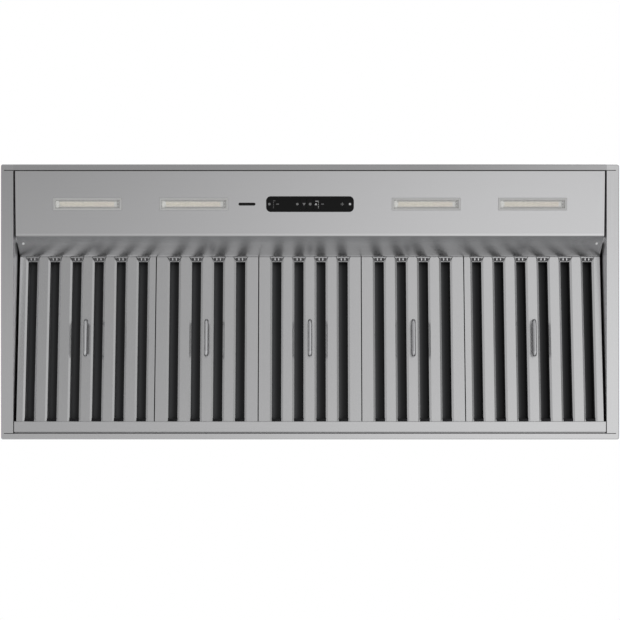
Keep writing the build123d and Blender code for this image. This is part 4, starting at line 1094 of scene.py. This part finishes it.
# -------- studio
@dataclass
class Studio:
    """White surround, pale floor, soft light and the camera under the insert."""

    distance: float = 3.6
    metres_per_pixel: float = 0.002397
    picture: int = 620
    centre_row: float = 301.9
    sensor: float = 36.0
    floor_level: float = -5.2
    floor_half: float = 40.0
    floor_paint: tuple[float, ...] = (0.9, 0.9, 0.9, 1.0)
    floor_lift: float = 0.22
    tone_half: float = 2.2
    rear_levels: Span = (0.74, 1.38)
    front_levels: Span = (0.47, 1.09)
    front_reach: float = -0.95
    rear_reach: float = 0.35
    fade_start: float = 4.5
    fade_end: float = 14.0
    far_half: float = 5.0
    far_levels: Span = (0.95, 0.70)
    side_start: float = 8.0
    side_end: float = 17.0
    side_level: float = 0.45
    surround_level: float = 0.85
    surround_tone: tuple[float, ...] = (0.97, 0.985, 1.0, 1.0)
    white: tuple[float, ...] = (1.0, 1.0, 1.0, 1.0)
    lamp_size: float = 2.4
    key_spot: Triple = (2.4, -2.6, 2.6)
    key_power: float = 60.0
    fill_spot: Triple = (-3.0, 1.5, 1.8)
    fill_power: float = 25.0

    def build_camera(self) -> None:
        """Set the camera straight below the insert, with the cook's side at the top."""
        lens = bpy.data.cameras.new("camera")
        lens.sensor_width = self.sensor
        lens.lens = self.sensor * self.distance / (self.metres_per_pixel * self.picture)
        lens.shift_y = (self.centre_row - self.picture / 2) / self.picture
        camera = add_object("camera", lens)
        camera.location = (0.0, 0.0, -self.distance)
        camera.rotation_euler = (math.pi, 0.0, 0.0)
        bpy.context.scene.camera = camera

    def floor_light(self, recipe: Recipe) -> Socket:
        """Light that the floor gives to the metal at each place, rising to the right."""
        half, x = self.tone_half, recipe.axis("X")
        front = recipe.remap(x, *self.front_levels, -half, half, SMOOTH)
        rear = recipe.remap(x, *self.rear_levels, -half, half, SMOOTH)
        rearwards = recipe.remap(recipe.axis("Y"), 0.0, 1.0, self.front_reach, self.rear_reach, SMOOTH)
        far = recipe.remap(x, *self.far_levels, -self.far_half, self.far_half, SMOOTH)
        reach = recipe.add("VectorMath", {0: recipe.position})
        reach.operation = "LENGTH"
        outwards = recipe.remap(reach.outputs["Value"], 0.0, 1.0, self.fade_start, self.fade_end, SMOOTH)
        level = recipe.mix(outwards, recipe.mix(rearwards, front, rear), far)
        side = recipe.remap(recipe.aside("X"), 1.0, self.side_level, self.side_start, self.side_end, SMOOTH)
        return recipe.combine("MULTIPLY", level, side)

    def build_floor(self) -> None:
        """Lay the pale floor, which shows in the metal as a soft tone and is white to the camera."""
        shape = bmesh.new()
        place = Matrix.Translation((0.0, 0.0, self.floor_level))
        bmesh.ops.create_grid(shape, x_segments=1, y_segments=1, size=self.floor_half, matrix=place)
        mesh = as_mesh("floor", shape)
        recipe = Recipe("floor_pale")
        glow = recipe.add("Emission", {"Strength": self.floor_light(recipe)})
        paint = recipe.add("BsdfDiffuse", {"Color": self.floor_paint})
        lift = recipe.add("Emission", {"Strength": self.floor_lift})
        seen = recipe.add("AddShader", {0: paint.outputs[0], 1: lift.outputs[0]})
        recipe.wire(recipe.tree.nodes["Material Output"], {"Surface": recipe.for_camera(glow, seen)})
        recipe.tree.nodes.remove(recipe.shader)
        mesh.materials.append(recipe.material)
        floor = add_object("floor", mesh)

    def build_surround(self) -> None:
        """Make the surround white to the camera and plain grey to everything else."""
        world = bpy.data.worlds.new("surround")
        bpy.context.scene.world = world
        world.use_nodes = True
        tree = Tree(world.node_tree)
        plain = tree.tree.nodes["Background"]
        tree.wire(plain, {"Color": self.surround_tone, "Strength": self.surround_level})
        white = tree.add("Background", {"Color": self.white})
        tree.wire(tree.tree.nodes["World Output"], {"Surface": tree.for_camera(plain, white)})

    def build_lamps(self) -> None:
        """Hang two large soft lamps above, for the walls and the top."""
        lamps = (("key", self.key_spot, self.key_power), ("fill", self.fill_spot, self.fill_power))
        for name, place, power in lamps:
            lamp = bpy.data.lights.new(name, "AREA")
            lamp.size = self.lamp_size
            lamp.energy = power
            holder = add_object(name, lamp)
            holder.location = place
            holder.rotation_euler = Vector(place).to_track_quat("Z", "Y").to_euler()

    def build(self) -> None:
        """Build the whole studio."""
        bpy.context.scene.view_settings.view_transform = "Standard"
        self.build_camera()
        self.build_floor()
        self.build_surround()
        self.build_lamps()


def main() -> None:
    """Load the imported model, dress it, add its small pieces and build the studio."""
    logging.basicConfig(level=logging.INFO, format="%(name)s %(message)s")
    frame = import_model()
    joints = {joint["name"]: joint for joint in frame["joints"]}
    finishes = Finishes(frame["nodes"])
    finishes.build()
    face = LightFace(Vector(joints["button_timer_press"]["axis"]).normalized())
    parts = [Housing(), LampPanel(face), ControlPanel(face), AirPath()]
    for number, slots in enumerate(FILTER_SLOTS, start=1):
        parts.append(BaffleFilter(number, slots, Vector(joints[f"filter_{number}_tilt"]["pos_m"])))
    for part in parts:
        part.dress(finishes)
        part.build(finishes)
        LOG.info("built %s", type(part).__name__)
    Studio().build()


if __name__ == "__main__":
    main()
